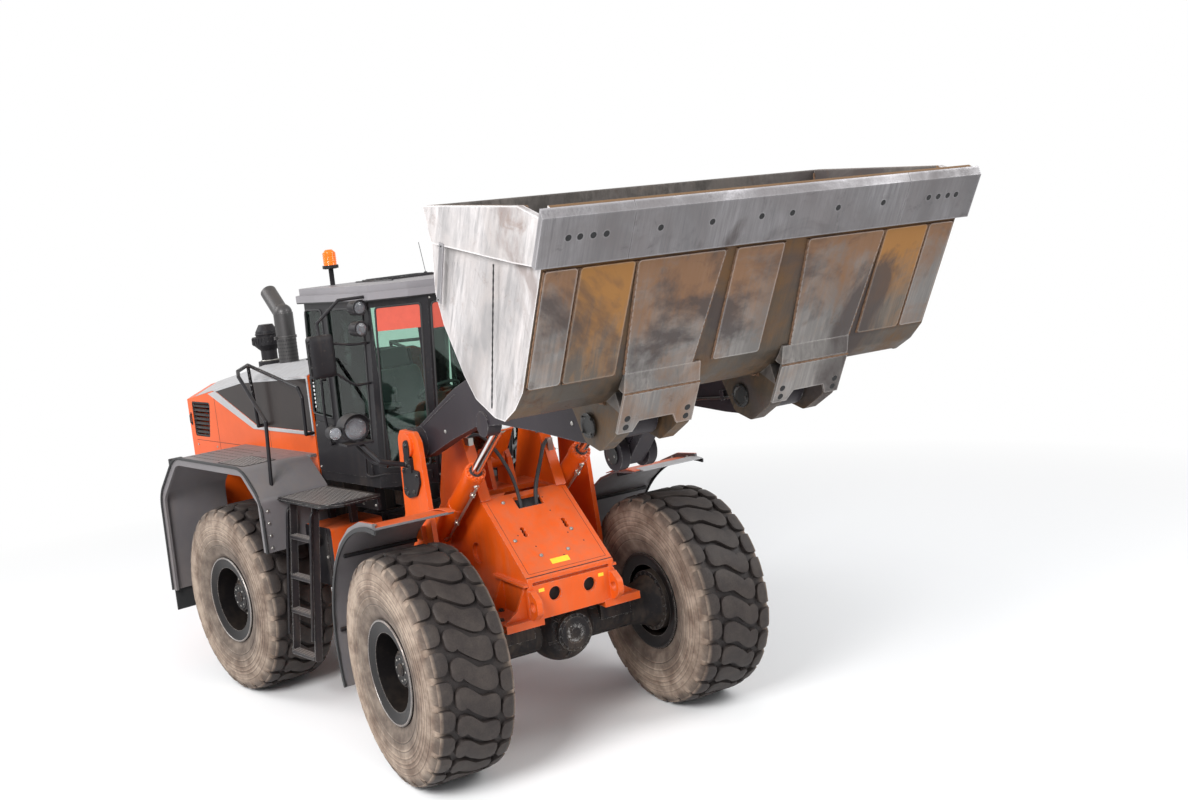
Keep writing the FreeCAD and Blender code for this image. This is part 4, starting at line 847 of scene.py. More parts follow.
w.weld([(4.315, FACE - 0.001, 3.845), (4.216, FACE - 0.001, 3.487), (4.095, FACE - 0.001, 3.04)], 0.0045, 0)
w.mirror()
w.prism("y", [(3.665, 3.99), (3.72, 3.975), (3.585, 3.63), (3.535, 3.645)], -FACE - 0.006, -FACE + 0.002, 3)
w.bolts([(3.685, -FACE - 0.006, 3.965), (3.565, -FACE - 0.006, 3.655)], -Y, 0.006, 2, False)
w.done(0.0)
h = Piece("hook_plates", "shovel", "k", "strip", "dark", "weld", "bolt_dark")
h.prism("y", [(-1.085, 0.0), (-1.085, -0.013), (-1.205, -0.046), (-1.205, 0.02)], 0.31, 0.84)
plan = [(-1.2, 0.31), (-1.2, 0.84), (-1.475, 0.84), (-1.475, 0.735), (-1.405, 0.70), (-1.405, 0.46),
    (-1.475, 0.42), (-1.475, 0.31)]
h.patch("z", plan, -0.049, 0.019, 0)
h.weld([(-1.202, 0.31, -0.049), (-1.202, 0.84, -0.049)], 0.006, 2)
for x in (-1.375, -1.435):
    for y in (0.362, 0.788):
        # Dark discs in the plate's holes: painted shade.
        h.lathe((x, y, -0.0488), -Z, [(0, 0.021), (0.0012, 0.02)], 1, 18)
for y in (0.845, 0.305):
    s = 1 if y > 0.5 else -1
    h.lathe((-1.592, y - s * 0.001, 0.238), Y * s, [(0, 0.078), (0.012, 0.076), (0.014, 0.058), (0.006, 0.05)],
        3, 28)
    h.bolt_ring((-1.592, y + s * 0.012, 0.238), Y * s, 0.066, 4, 0.009, 3, 0.4)
h.mirror()
h.done(0.002, 35, "worn_steel")


# linkage
BUCKET_PIN = 3.0603
b = Piece("boom_fittings", "boom", "b", "arm", "bolt", "pin", "rubber", "bolt_dark", "yellow", "weld")
for y, s in ((0.706, 1), (0.534, -1)):
    b.ring((0, y, 0), Y, 0.116, 0.012, 3, 36, 8)
b.lathe((BUCKET_PIN, 0.711, 0), Y, [(0, 0.128), (0.005, 0.128), (0.007, 0.112)], 3, 36)
b.weld([(1.45 + 0.124 * cos(t * pi / 12), 0.543, 0.28 + 0.124 * sin(t * pi / 12)) for t in range(25)], 0.010, 0)
for y in (0.123, 0.177):
    b.weld([(1.36, y, 0.24), (1.375, y, 0.37)], 0.008, 0)
b.lathe((1.72, 0.171, 0.60), Y, [(0, 0.075), (0.010, 0.074), (0.016, 0.03)], 4, 28)
b.bolt_ring((1.72, 0.18, 0.60), Y, 0.052, 4, 0.010, 1, 0.5)
b.weld([(0.10, 0.646, 0.13), (0.36, 0.646, 0.21), (0.8, 0.646, 0.33)], 0.004, 0)
for x, z in ((0.5, 0.06), (1.9, 0.2), (2.5, 0.0)):
    b.lathe((x, 0.644, z), Y, [(0, 0.016), (0.006, 0.015), (0.012, 0.007)], 1, 12)
for x in (1.80, 2.05, 2.55):
    b.box(x - 0.02, x + 0.02, 0.514, 0.545, -0.04, 0.03, 0)
b.tube([(1.68, 0.54, 0.05), (1.72, 0.524, 0.0), (2.3, 0.524, -0.01), (2.7, 0.524, -0.03)], 0.0105, 4, 10, 0.05)
b.mirror()
b.patch("y", rect(0.62, 0.70, 0.0, 0.045), 0.6455, 0.0008, 5)
b.done(0.0015, 40)
lever = Piece("lever_pins", "tilt_lever", "b", "bolt_dark", "bolt", "arm")
# The bellcrank's upper pin, at 120 degrees on its long arm, and its lower one at the link.
dx, dz = 1.72 + 0.72 * cos(radians(120)), 0.6 + 0.72 * sin(radians(120))
E_AT = BOOM.inverted() @ (FRONT @ Vector((3.06, 0, 2.42)))
for x, z, y, r in ((dx, dz, 0.129, 0.052), (E_AT.x, E_AT.z, 0.154, 0.07)):
    lever.lathe((x, y - 0.002, z), Y, [(0, r), (0.008, r * 0.97), (0.012, r * 0.5)], 0, 26)
    lever.bolt_ring((x, y + 0.006, z), Y, r * 0.68, 3, 0.008, 1, 0.3)
lever.mirror()
lever.done(0.0015)


# front chassis
DOWN, UP = Vector((0.7758, 0, -0.631)), Vector((0.631, 0, 0.7758))


def deck(s, y, h=0.0):
    """Point on the sloping deck: distance down it, side, height over it."""
    return (1.356 + DOWN.x * s + UP.x * h, y, 1.921 + DOWN.z * s + UP.z * h)


def deck_plate(piece, s0, s1, y0, y1, h0, h1, m):
    low, high = ([deck(s, y, h) for s, y in ((s0, y0), (s1, y0), (s1, y1), (s0, y1))] for h in (h0, h1))
    piece.skin([low, high], m)


f = Piece("frame_fittings", "front_chassis", "f", "orange", "bolt", "bolt_dark", "yellow", "dark", "black",
    "pin", "weld")
f.bolts([deck(s, y) for s, y in ((0.08, 0.092), (0.474, 0.205), (0.655, 0.08), (0.655, -0.161), (0.465, -0.297),
    (0.076, -0.214))],
        UP, 0.013, 1)
f.studs([deck(s, y) for s, y in ((0.25, 0.128), (0.56, -0.159), (0.61, 0.248), (0.5, 0.16), (0.42, -0.25),
    (0.7, 0.02), (0.1, 0.13))],
        UP, 0.006, 0.001, 4, 10)
for y in (-0.345, 0.345):
    deck_plate(f, 0.04, 0.80, y - 0.0015, y + 0.0015, -0.001, 0.0006, 4)
deck_plate(f, 0.80, 0.803, -0.345, 0.345, -0.001, 0.0006, 4)
deck_plate(f, 0.828, 0.836, -0.384, 0.384, -0.001, 0.0010, 4)
deck_plate(f, 0.708, 0.758, -0.113, 0.047, -0.001, 0.0008, 3)
for y in (-0.27, 0.262):
    f.patch("x", rect(y - 0.024, y + 0.024, 1.272, 1.298), 2.0145, 0.0012, 3)
# Dark plate sunk in the deck slot and dark panel in the front recess: painted shade.
deck_plate(f, 0.02, 0.16, -0.125, 0.125, -0.06, -0.035, 4)
f.patch("x", rect(-0.33, 0.33, 1.09, 1.315), 1.955, 0.01, 4)
for y in (0.155, -0.155):
    f.ring((2.0155, y, 1.234), X, 0.057, 0.003, 0, 30, 6)
both = Piece("frame_sides", "front_chassis", "f", "orange", "bolt", "bolt_dark", "black", "pin", "weld", "cast",
    "rubber")
both.patch("y", [(0.905, 2.43, 0.05), (0.995, 2.45, 0.05), (1.01, 2.39, 0.05), (0.99, 2.24, 0.05),
    (0.92, 2.22, 0.05), (0.895, 2.33, 0.05)], 0.784, 0.012, 3, 0.05)
both.bolts([(0.955, 0.796, 2.255), (0.962, 0.796, 2.40)], Y, 0.020, 2)
both.patch("y", [(0.78, 1.98), (0.87, 1.955), (1.02, 1.99), (1.115, 2.10), (1.11, 2.20), (0.80, 2.205)], 0.759,
    0.02, 3, 0.02)
both.bolts([(0.82, 0.779, 2.03), (0.87, 0.779, 1.995), (0.99, 0.779, 2.02), (1.08, 0.779, 2.165),
    (0.83, 0.779, 2.175)], Y, 0.015, 2)
both.bolts([(0.61, 0.769, 1.52), (0.71, 0.769, 1.52), (0.66, 0.769, 1.47), (0.66, 0.769, 1.57)], Y, 0.012, 1)
for x in (-0.12, 0.12):
    for y in (0.43, 0.55):
        both.bolt((AXLE_X + x, y, 1.075), Z, 0.021, 2)
        both.rod((AXLE_X + x, y, 1.02), (AXLE_X + x, y, 0.86), 0.018, 2, 12)
        both.bolt((AXLE_X + x, y, 0.88), -Z, 0.024, 2)
both.lathe((0.95, 0.720, 2.4), -Y, [(-0.01, 0.135), (0.006, 0.135), (0.006, 0.118), (0.012, 0.118)], 7, 36)
both.weld([(1.03, 0.377, 2.52), (1.125, 0.377, 2.425), (1.355, 0.377, 1.915), (2.0, 0.377, 1.39)], 0.006, 0)
both.weld([(1.49, 0.377, 1.352), (1.99, 0.377, 1.352)], 0.006, 0)
both.bolts([(0.94, 0.791, 2.21), (0.94, 0.791, 2.27), (0.90, 0.791, 2.24), (0.98, 0.791, 2.24)], Y, 0.011, 2)
both.mirror()
both.done(0.0015, 40)
f.prism("z", rect(1.15, 1.25, -0.376, -0.335), 2.35, 2.41, 6)
f.prism("z", rect(1.13, 1.26, 0.376, 0.33), 2.17, 2.29, 6)
f.done(0.0, 40)
hose("deck_hose_right", [(1.44, -0.07, 1.80), (1.42, -0.07, 1.92), (1.36, -0.10, 2.12), (1.29, -0.20, 2.34),
    (1.22, -0.29, 2.45), (1.20, -0.356, 2.40)], 0.030)
hose("deck_hose_left", [(1.44, 0.07, 1.80), (1.43, 0.07, 1.90), (1.40, 0.12, 2.02), (1.34, 0.21, 2.16),
    (1.27, 0.28, 2.26), (1.22, 0.35, 2.27)], 0.034)
a = Piece("front_axle_details", "front_chassis", "f", "cast", "bolt_dark")
r = Piece("rear_axle_details", "rear_chassis", "r", "cast", "bolt_dark")
for p, x, s, cover in ((a, AXLE_X, 1, 0.15), (r, -AXLE_X, -1, 0.119)):
    face = x + s * (0.258 if s > 0 else 0.30)
    steps = ((0, 0.86), (0.012, 0.84), (0.012, 0.55), (0.004, 0.52), (0.004, 0.3), (0.014, 0.28), (0.016, 0.1))
    p.lathe((face - s * 0.002, 0, AXLE_Z), X * s, [(h, cover * k) for h, k in steps], 0, 40)
    p.bolt_ring((face + s * 0.001, 0, AXLE_Z), X * s, cover * 0.93, 14, 0.010, 1)
    for t in range(6):
        t = t * pi / 3 + 0.3
        out, side = Vector((0, cos(t), sin(t))), Vector((0, -sin(t), cos(t)))
        root = Vector((x + s * 0.10, 0, AXLE_Z))
        p.skin([[root + X * (s * w) + out * k + side * v for w, k in ((0, 0.24), (0.09, 0.2), (0.14, 0.12))]
                for v in (-0.012, 0.012)], 0)
    for side in (1, -1):
        p.bolt_ring((x, side * 0.859, AXLE_Z), Y * -side, 0.228, 20, 0.012, 1)
        p.lathe((x, side * 0.60, AXLE_Z), Y * side, [(0, 0.142), (0.12, 0.165), (0.26, 0.215)], 0, 36, False)
        for d in (-0.09, 0.09):
            p.box(x + d - 0.012, x + d + 0.012, min(side * 0.2, side * 0.86), max(side * 0.2, side * 0.86),
                0.97, 1.005, 0)
    p.box(x - 0.02, x + 0.02, -0.85, 0.85, 0.722, 0.742, 0)
    p.done(0.003, 40, "cast_axle")


# cylinders and lamps on the front body
H_AT, J_AT = Vector((0.66, 0.478, 1.52)), Vector((2.1177, 0.478, 2.6415))
RUN = (J_AT - H_AT).normalized()
ACROSS = Vector((-RUN.z, 0, RUN.x))
c = Piece("lift_barrel_fittings", "lift_cylinders", "f", "orange_hi", "fitting", "hose", "bolt")
end = H_AT + RUN * 1.09
c.lathe(end - RUN * 0.004, RUN, [(0, 0.084), (0.018, 0.082), (0.024, 0.070), (0.024, 0.055)], 0, 40)
for k in range(14):
    t = k * pi / 7
    q = end + ACROSS * (0.069 * cos(t)) + Y * (0.069 * sin(t))
    c.lathe(q - RUN * 0.062, RUN, [(0, 0.0135), (0.076, 0.0135), (0.078, 0.0115), (0.090, 0.0105),
        (0.092, 0.008)], 0, 12)
c.ring(end + RUN * 0.024, RUN, 0.048, 0.005, 2, 30, 6)
low = [H_AT + RUN * s - ACROSS * h for s,
    h in ((1.02, 0.07), (1.01, 0.098), (0.90, 0.101), (0.22, 0.101), (0.16, 0.095), (0.15, 0.06))]
c.tube(low, 0.012, 1, 10, 0.03)
for s in (0.9, 0.45):
    q = H_AT + RUN * s - ACROSS * 0.094
    c.rod(q - RUN * 0.02, q + RUN * 0.02, 0.022, 1, 12)
    c.bolt(q - ACROSS * 0.02, -ACROSS, 0.009, 3)
for s in (1.02, 0.15):
    q = H_AT + RUN * s - ACROSS * 0.06
    c.rod(q, q - ACROSS * 0.040, 0.022, 1, 6)
for r, s in ((0.0805, 0.13), (0.0795, 0.6)):
    c.ring(H_AT + RUN * s, RUN, r - 0.002, 0.004, 0, 40, 6)
c.mirror()
c.done(0.001)
c = Piece("tilt_barrel_fittings", "tilt_cylinder", "f", "orange_hi", "fitting", "hose")
G_AT = Vector((0.9, 0, 2.15))
D_AT = FRONT.inverted() @ (BOOM @ Vector((dx, 0, dz)))
run = (D_AT - G_AT).normalized()
over = Vector((-run.z, 0, run.x))
end = G_AT + run * 1.38
c.lathe(end - run * 0.003, run, [(0, 0.110), (0.016, 0.108), (0.022, 0.09), (0.022, 0.062)], 0, 44)
c.bolt_ring(end + run * 0.014, run, 0.094, 14, 0.011, 0)
c.ring(end + run * 0.022, run, 0.056, 0.005, 2, 30, 6)
for y, far, near in ((-0.035, 0.26, 0.2), (0.035, 1.28, 0.24)):
    bends = ((far, 0.085), (far, 0.125), (near, 0.128), (0.16, 0.12))
    c.tube([G_AT + run * s + over * h + Y * y for s, h in bends], 0.012, 1, 10, 0.04)
c.done(0.001)
e = Piece("rod_eye_caps", "lift_rams", "f", "pin", "fitting", "bolt")
e.lathe(J_AT + Vector((0, -0.0525, 0)), -Y, [(0, 0.064), (0.008, 0.062), (0.010, 0.046), (0.004, 0.04)], 1, 30)
e.lathe(J_AT - RUN * 0.082, -RUN, [(0, 0.052), (0.05, 0.0435), (0.056, 0.0425)], 1, 26)
e.bolt(J_AT + ACROSS * 0.074, ACROSS, 0.010, 2)
e.mirror()
e.done(0.001)


def lamp(piece, p, d, *parts):
    """Bezel, reflector and lens on one axis: offset, profile, material and sides of each."""
    for off, profile, m, n in parts:
        piece.lathe(Vector(p) + d * off, d, profile, m, n)


BIG_LAMP = (0.715, 1.10, 2.57)
l = Piece("headlamp_glass", "front_chassis", "f", "black", "mirror", "lens", "amber", "bolt")
lamp(l, BIG_LAMP, X, (0, [(0, 0.112), (0.012, 0.112), (0.014, 0.096), (0.006, 0.094)], 0, 40),
     (0.004, [(0, 0.093), (0.001, 0.092)], 1, 36),
     (0.007, [(0, 0.092), (0.008, 0.082), (0.013, 0.05), (0.015, 0.01)], 2, 36))
for k in range(7):
    l.rod((0.724, 1.03 + k * 0.0233, 2.57 - 0.05), (0.724, 1.03 + k * 0.0233, 2.57 + 0.05), 0.0025, 1, 6)
VISOR = ((0.60, 0.110), (0.775, 0.118), (0.775, 0.123), (0.60, 0.116))
l.skin([[(x, 1.10 + r * cos(radians(t)), 2.57 + r * sin(radians(t))) for x, r in VISOR]
    for t in range(15, 166, 10)], 0)
l.rod((0.60, 1.265, 2.555), (0.70, 1.265, 2.555), 0.052, 0, 24)
l.rod((0.62, 1.19, 2.56), (0.62, 1.24, 2.555), 0.02, 0)
lamp(l, (0.70, 1.265, 2.555), X, (-0.001, [(0, 0.047), (0.010, 0.042), (0.016, 0.02)], 2, 28),
     (-0.003, [(0, 0.048), (0.004, 0.048)], 1, 28))
l.prism("x", rect(0.985, 1.215, 2.462, 2.445), 0.60, 0.79, 0)
l.tube([(0.64, 1.10, 2.46), (0.67, 1.06, 2.38), (0.70, 0.98, 2.27), (0.80, 0.90, 2.235)], 0.017, 0, 12, 0.05)
l.bolt_ring((0.716, 1.10, 2.57), X, 0.104, 4, 0.006, 4, 0.8)
l.mirror()
l.done(0.001)
g = Piece("front_fender_trim", "front_chassis", "f", "orange", "grey", "rubber", "bolt", "black")


def over_wheel(deg, r, y):
    return Vector((AXLE_X + r * cos(radians(deg)), y, AXLE_Z + r * sin(radians(deg))))


def arc(piece, a0, a1, r0, r1, y0, y1, m, step=4):
    """Band over the front wheel, from angle a0 to a1."""
    k = max(2, int((a1 - a0) / step))
    piece.skin([[over_wheel(a0 + (a1 - a0) * i / k, r, y) for r, y in rect(r0, r1, y0, y1)]
        for i in range(k + 1)], m)


arc(g, 86.5, 110, 1.1065, 1.113, 0.80, 0.86, 0)
arc(g, 84.8, 200, 1.068, 1.100, 1.4555, 1.470, 2)
for t in (92, 104, 116, 128, 140, 152, 166, 180, 192):
    g.bolt(over_wheel(t, 1.106, 1.40), (cos(radians(t)), 0, sin(radians(t))), 0.011, 3)
for t in (100, 135, 175):
    g.rod(over_wheel(t, 1.07, 0.80), over_wheel(t, 1.07, 1.42), 0.018, 4, 10)
g.mirror()
arc(g, 84.0, 90, 1.106, 1.114, 0.86, 1.45, 1)
g.done(0.0015)


# rear chassis
def crest(x):
    """Height of the hood's top."""
    return 2.92 + (x + 2.4) * (0.0597 if x > -2.4 else 0.1705)


def hood_strip(piece, xs, y0, y1, t, m):
    """Sheet of thickness t along the hood's top."""
    piece.skin([[(x, y0, crest(x)), (x, y1, crest(x)), (x, y1, crest(x) + t), (x, y0, crest(x) + t)]
        for x in xs], m)


h = Piece("hood_panels", "rear_chassis", "r", "brown", "silver", "grey", "dark", "black", "orange_hi", "bolt")
h.patch("y", [(-1.085, 2.372), (-1.085, 2.862), (-2.40, 2.785), (-3.0, 2.685), (-2.17, 2.372)], 0.7185, 0.005,
    0)
h.patch("y", [(-3.20, 2.655), (-3.02, 2.688), (-2.18, 2.368), (-1.085, 2.368), (-1.085, 2.335), (-2.26, 2.335)],
    0.7185, 0.009, 1)
for x0, x1, z0, z1 in ((-3.083, -3.077, 1.905, 2.69), (-3.62, -1.07, 2.148, 2.153),
        (-1.95, -1.945, 1.905, 2.33)):
    h.patch("y", rect(x0, x1, z0, z1), 0.7192, 0.0016, 3)
h.patch("y", rect(-3.705, -3.675, 2.30, 2.44), 0.7192, 0.003, 4, 0.01)
h.tube([(-3.69, 0.722, 2.32), (-3.69, 0.737, 2.33), (-3.69, 0.737, 2.41), (-3.69, 0.722, 2.42)], 0.006, 4, 8,
    0.02)
for z in (1.95, 2.1):
    h.bolts([(x, 0.7195, z) for x in (-3.6, -3.15, -2.5, -1.9, -1.3)], Y, 0.009, 6)
xs = (-3.5, -2.95, -2.4, -1.75, -1.065)
h.skin([[(x, 0.452, crest(x)), (x, 0.722, crest(x) - 0.1145), (x, 0.724, crest(x) - 0.108),
    (x, 0.452, crest(x) + 0.005)] for x in xs], 2)
h.patch("y", [(-1.062, 2.335), (-1.062, 2.884), (-2.40, 2.808), (-3.10, 2.69), (-3.0, 2.685), (-2.40, 2.785),
    (-1.085, 2.862), (-1.085, 2.335)], 0.7185, 0.0085, 1)
h.mirror()
hood_strip(h, xs, -0.445, 0.445, 0.005, 2)
for x in (-2.78, -1.88):
    h.box(x, x + 0.006, -0.446, 0.446, crest(x), crest(x) + 0.0066, 3)
# Dark sheet under the vent slats: painted shade inside the vent.
hood_strip(h, (-1.80, -1.24), -0.30, 0.36, 0.007, 3)
for i in range(15):
    x = -1.79 + i * 0.0375
    h.box(x, x + 0.014, -0.30, 0.36, crest(x) + 0.004, crest(x) + 0.020, 4)
for y in (-0.30, 0.03, 0.36):
    hood_strip(h, (-1.80, -1.24), y - 0.008, y + 0.008, 0.021, 4)
for y in (-0.25, 0.25):
    h.box(-3.10, -3.04, y - 0.04, y + 0.04, crest(-3.07) + 0.002, crest(-3.07) + 0.022, 4)
h.done(0.002, 40)
STACK, CLEANER = Vector((-2.1, -0.33, 0)), Vector((-2.5, -0.33, 0))
x = Piece("stack_details", "rear_chassis", "r", "exhaust", "dark", "bolt", "black")
# Dark discs round the stack's shield: painted shade in its perforations.
for z in (2.985, 3.02, 3.055, 3.09, 3.125, 3.16):
    for t in range(24):
        t = t * pi / 12 + (0.13 if round(z * 1000) % 2 else 0)
        d = Vector((cos(t), sin(t), 0))
        x.lathe(STACK + d * 0.094 + Z * z, d, [(0, 0.0075), (0.0016, 0.007)], 1, 8)
x.bolt((-2.1, -0.33 - 0.106, 3.1925), -Y, 0.010, 2)
x.box(-2.115, -2.085, -0.455, -0.43, 3.178, 3.207, 0)
for t in range(28):
    t = t * 2 * pi / 28
    d, q = Vector((cos(t), sin(t), 0)), Vector((-sin(t), cos(t), 0)) * 0.005
    fin = ((0.140, 3.122), (0.155, 3.13), (0.155, 3.19), (0.140, 3.198))
    x.skin([[CLEANER + d * r + q * s + Z * z for r, z in fin] for s in (-1, 1)], 3)
x.ring((-2.5, -0.33, 3.225), Z, 0.110, 0.008, 3, 36, 6)
x.ring((-2.5, -0.33, 2.96), Z, 0.083, 0.009, 2, 32, 6)
x.lathe((-2.5, -0.33, 2.84), Z, [(0, 0.117), (0.111, 0.117), (0.113, 0.115), (0.113, 0.07)], 3, 40)
x.ring((-2.1, -0.33, 2.915), Z, 0.103, 0.012, 3, 36, 6)
x.done(0.0008)


def diamond(piece, x, y, z, turn, m, a, b, h=0.0022):
    c, s = cos(turn), sin(turn)
    piece.skin([[(x + (u * c - v * s) * k, y + (u * s + v * c) * k, z + up) for u,
        v in ((a, 0), (0, b), (-a, 0), (0, -b))]
                for k, up in ((1, -0.0005), (0.5, h))], m)


def tread_plate(piece, x0, y0, z, dx, dy, nx, ny, *sizes):
    """Grid of raised diamonds, turned one way and the other."""
    for i in range(nx):
        for j in range(ny):
            diamond(piece, x0 + i * dx, y0 + j * dy, z, pi / 4 if (i + j) % 2 else -pi / 4, 0, *sizes)


q = Piece("fender_platform_details", "rear_chassis", "r", "worn", "black", "bolt", "rubber", "grey", "plastic",
    "charcoal", "orange", "cast")
tread_plate(q, -0.80, 0.82, 1.90, 0.03, 0.031, 27, 15, 0.0135, 0.007)
q.patch("z", [(-1.72, 1.06), (-1.72, 1.40), (-1.20, 1.40), (-1.20, 1.06)], 2.1665, 0.004, 1, 0.03)
tread_plate(q, -1.69, 1.09, 2.1705, 0.031, 0.0315, 16, 10, 0.012, 0.006, 0.003)
for i in range(11):
    for j in range(6):
        px, py = -2.42 + i * 0.058, 0.90 + j * 0.085
        q.patch("z", rect(px - 0.02, px + 0.02, py - 0.006, py + 0.006), 2.1665, 0.0014, 1, 0.006)
fender = [(-0.828, 1.43), (-0.828, 1.90), (-1.128, 2.169), (-2.562, 2.169), (-3.002, 1.762), (-3.037, 0.78)]
q.tube([(px, 1.455, pz) for px, pz in fender], 0.013, 3, 8, 0.13, 7)
q.bolts([(-0.829, 1.40, z) for z in (1.47, 1.58, 1.69, 1.80)] + [(-0.829, 0.85, z) for z in (1.47, 1.69)], X,
    0.012, 2)
q.bolts([(-3.0 - 0.0357 * (1.76 - z), yy, z) for z in (1.6, 1.3, 1.0) for yy in (0.86, 1.40)], (-1, 0, -0.03),
    0.012, 2)
q.skin([[(px, yy, z) for px, yy in ((-3.062, 0.80), (-3.045, 0.80), (-3.045, 1.43), (-3.062, 1.43))]
    for z in (0.96, 0.76, 0.56)], 3)
q.bolts([(-3.06, yy, 0.90) for yy in (0.88, 1.04, 1.2, 1.36)], -X, 0.012, 2)
for xx in (-0.70, -0.43):
    q.box(xx - 0.022, xx + 0.022, 1.078, 1.086, 1.11, 1.61, 6)
    q.bolt((xx, 1.086, 1.36), Y, 0.012, 2)
q.lathe((-0.565, 1.079, 1.50), Y, [(0, 0.06), (0.03, 0.058), (0.034, 0.045), (0.05, 0.042), (0.052, 0.02)], 1,
    30)
for xx in (-0.78, 0.0):
    q.bolts([(xx, 0.80, 1.80), (xx * 0.5 - 0.2, 0.80, 1.80)], Y, 0.011, 2)
q.loop([(-0.83, 1.292, 1.883), (-0.10, 1.292, 1.883), (0.042, 1.135, 1.883), (0.042, 0.79, 1.883),
    (-0.82, 0.79, 1.883)], 0.006, 8)
for z in (0.52, 0.886, 1.188, 1.536):
    yy = 1.325 - (z - 0.545) * 0.125
    for i in range(18):
        for j in (-0.022, 0, 0.022):
            q.lathe((-0.775 + i * 0.0205, yy + j, z + 0.0155), Z, [(0, 0.006), (0.004, 0.0045)], 0, 6)
    q.bolts([(-0.805, yy, z), (-0.805, yy + 0.02, z + 0.03)], -X, 0.009, 2)
for xx in (-0.815, -0.397):
    q.tube([(xx, 1.08, 1.80), (xx, 1.215, 1.795), (xx, 1.235, 1.66), (xx, 1.36, 0.68)], 0.0135, 6, 10, 0.06)
q.prism("x", [(0.90, 0.66), (1.03, 0.62), (1.06, 0.66), (1.06, 1.50), (0.90, 1.50)], -0.415, -0.355, 7)
q.mirror()
q.done(0.0, 40)
k = Piece("rear_end_details", "rear_chassis", "r", "orange", "red", "amber", "lens", "bolt_dark", "pin",
    "black", "dark", "mirror")
for z0, z1, m in ((1.915, 1.96, 3), (1.965, 2.01, 2), (2.012, 2.05, 1)):
    k.patch("x", rect(1.09, 1.21, z0, z1), -3.266, 0.008, m, 0.008)
k.bolts([(-3.4, 1.2, 1.2), (-3.4, 1.2, 1.5), (-3.15, 1.2, 1.2), (-3.15, 1.2, 1.5)], Y, 0.02, 4)
k.patch("y", rect(-3.475, -3.07, 1.02, 1.026), 1.1992, 0.0016, 7)
k.lathe((-3.757, 0.62, 1.66), -X, [(-0.004, 0.04), (0.003, 0.038), (0.004, 0.02)], 1, 24)
k.mirror()
k.rod((-3.65, 0, 1.0), (-3.65, 0, 1.44), 0.026, 5, 20)
k.tube([(-3.65, 0, 1.43), (-3.65, 0.05, 1.47), (-3.65, 0.1, 1.43), (-3.65, 0.06, 1.40)], 0.008, 5, 8, 0.03)
k.lathe((-3.65, 0, 1.415), Z, [(0, 0.04), (0.012, 0.038)], 5, 24)
for i in range(13):
    k.rod((-3.742, -0.478 + i * 0.0797, 2.052), (-3.742, -0.478 + i * 0.0797, 2.458), 0.0025, 6, 6)
k.box(-3.752, -3.744, -0.52, 0.52, 2.497, 2.505, 7)
k.bolts([(-3.745, y, z) for y in (-0.50, 0.50) for z in (2.03, 2.25, 2.48)], -X, 0.009, 4)
k.box(-3.752, -3.738, -0.05, 0.05, 2.54, 2.58, 6)
k.done(0.0012)


# cab
RAKE, REAR_RAKE = 0.0994, 0.0559


def a_post(z):
    return -0.02 + (z - 2.0) * RAKE


def front_x(z):
    return 0.40 + RAKE * (z - 1.95)


def facet(s, z, side, out=0.0):
    """Point on the slanted corner pane: along it, height, left or right."""
    return (0.23 + RAKE * (z - 1.95) - 0.6766 * s + 0.7364 * out, side * (0.585 + 0.7364 * s + 0.6766 * out), z)


SIDE_WINDOW = [(-0.50, 2.48), (-0.48, 3.49), (a_post(3.49), 3.49), (a_post(2.33), 2.33)]
QUARTER = [(-0.93, 2.56), (-0.85, 3.49), (-0.565, 3.49), (-0.59, 2.52)]
DOOR_PANE = [(-0.47, 2.29), (-0.47, 3.43), (a_post(3.43) - 0.07, 3.43), (a_post(2.29) - 0.07, 2.29)]
FRONT_PANE = [(-0.37, 2.08), (-0.37, 3.49), (0.37, 3.49), (0.37, 2.08)]
c = Piece("cab_trim", "rear_chassis", "r", "rubber", "charcoal", "black", "bolt", "mirror", "lens", "amber",
    "dark", "trim", "strip_red")
c.loop([(x, -0.771, z) for x, z in rounded(SIDE_WINDOW, 0.04)], 0.010)
for s in (1, -1):
    c.loop([(x, s * 0.771, z) for x, z in rounded(QUARTER, 0.04)], 0.010)
    c.loop([facet(u, z, s, 0.001) for u,
        z in rounded([(-0.19, 2.12), (-0.19, 3.49), (0.19, 3.49), (0.19, 2.12)], 0.03)], 0.010)
c.loop([(front_x(z) + 0.001, y, z) for y, z in rounded(FRONT_PANE, 0.04)], 0.010)
c.loop([(-1.021 + REAR_RAKE * (z - 1.95), y, z) for y,
    z in rounded([(-0.59, 2.56), (-0.59, 3.49), (0.59, 3.49), (0.59, 2.56)], 0.04)], 0.010)
c.patch("y", [(-0.935, 2.03), (-0.915, 2.50), (-0.60, 2.46), (-0.46, 2.42), (-0.05, 2.26), (-0.01, 2.03)],
    -0.7795, 0.011, 1, 0.05)
c.patch("y", [(-0.935, 2.03), (-0.915, 2.50), (-0.60, 2.46), (-0.585, 2.03)], 0.7685, 0.011, 1, 0.04)
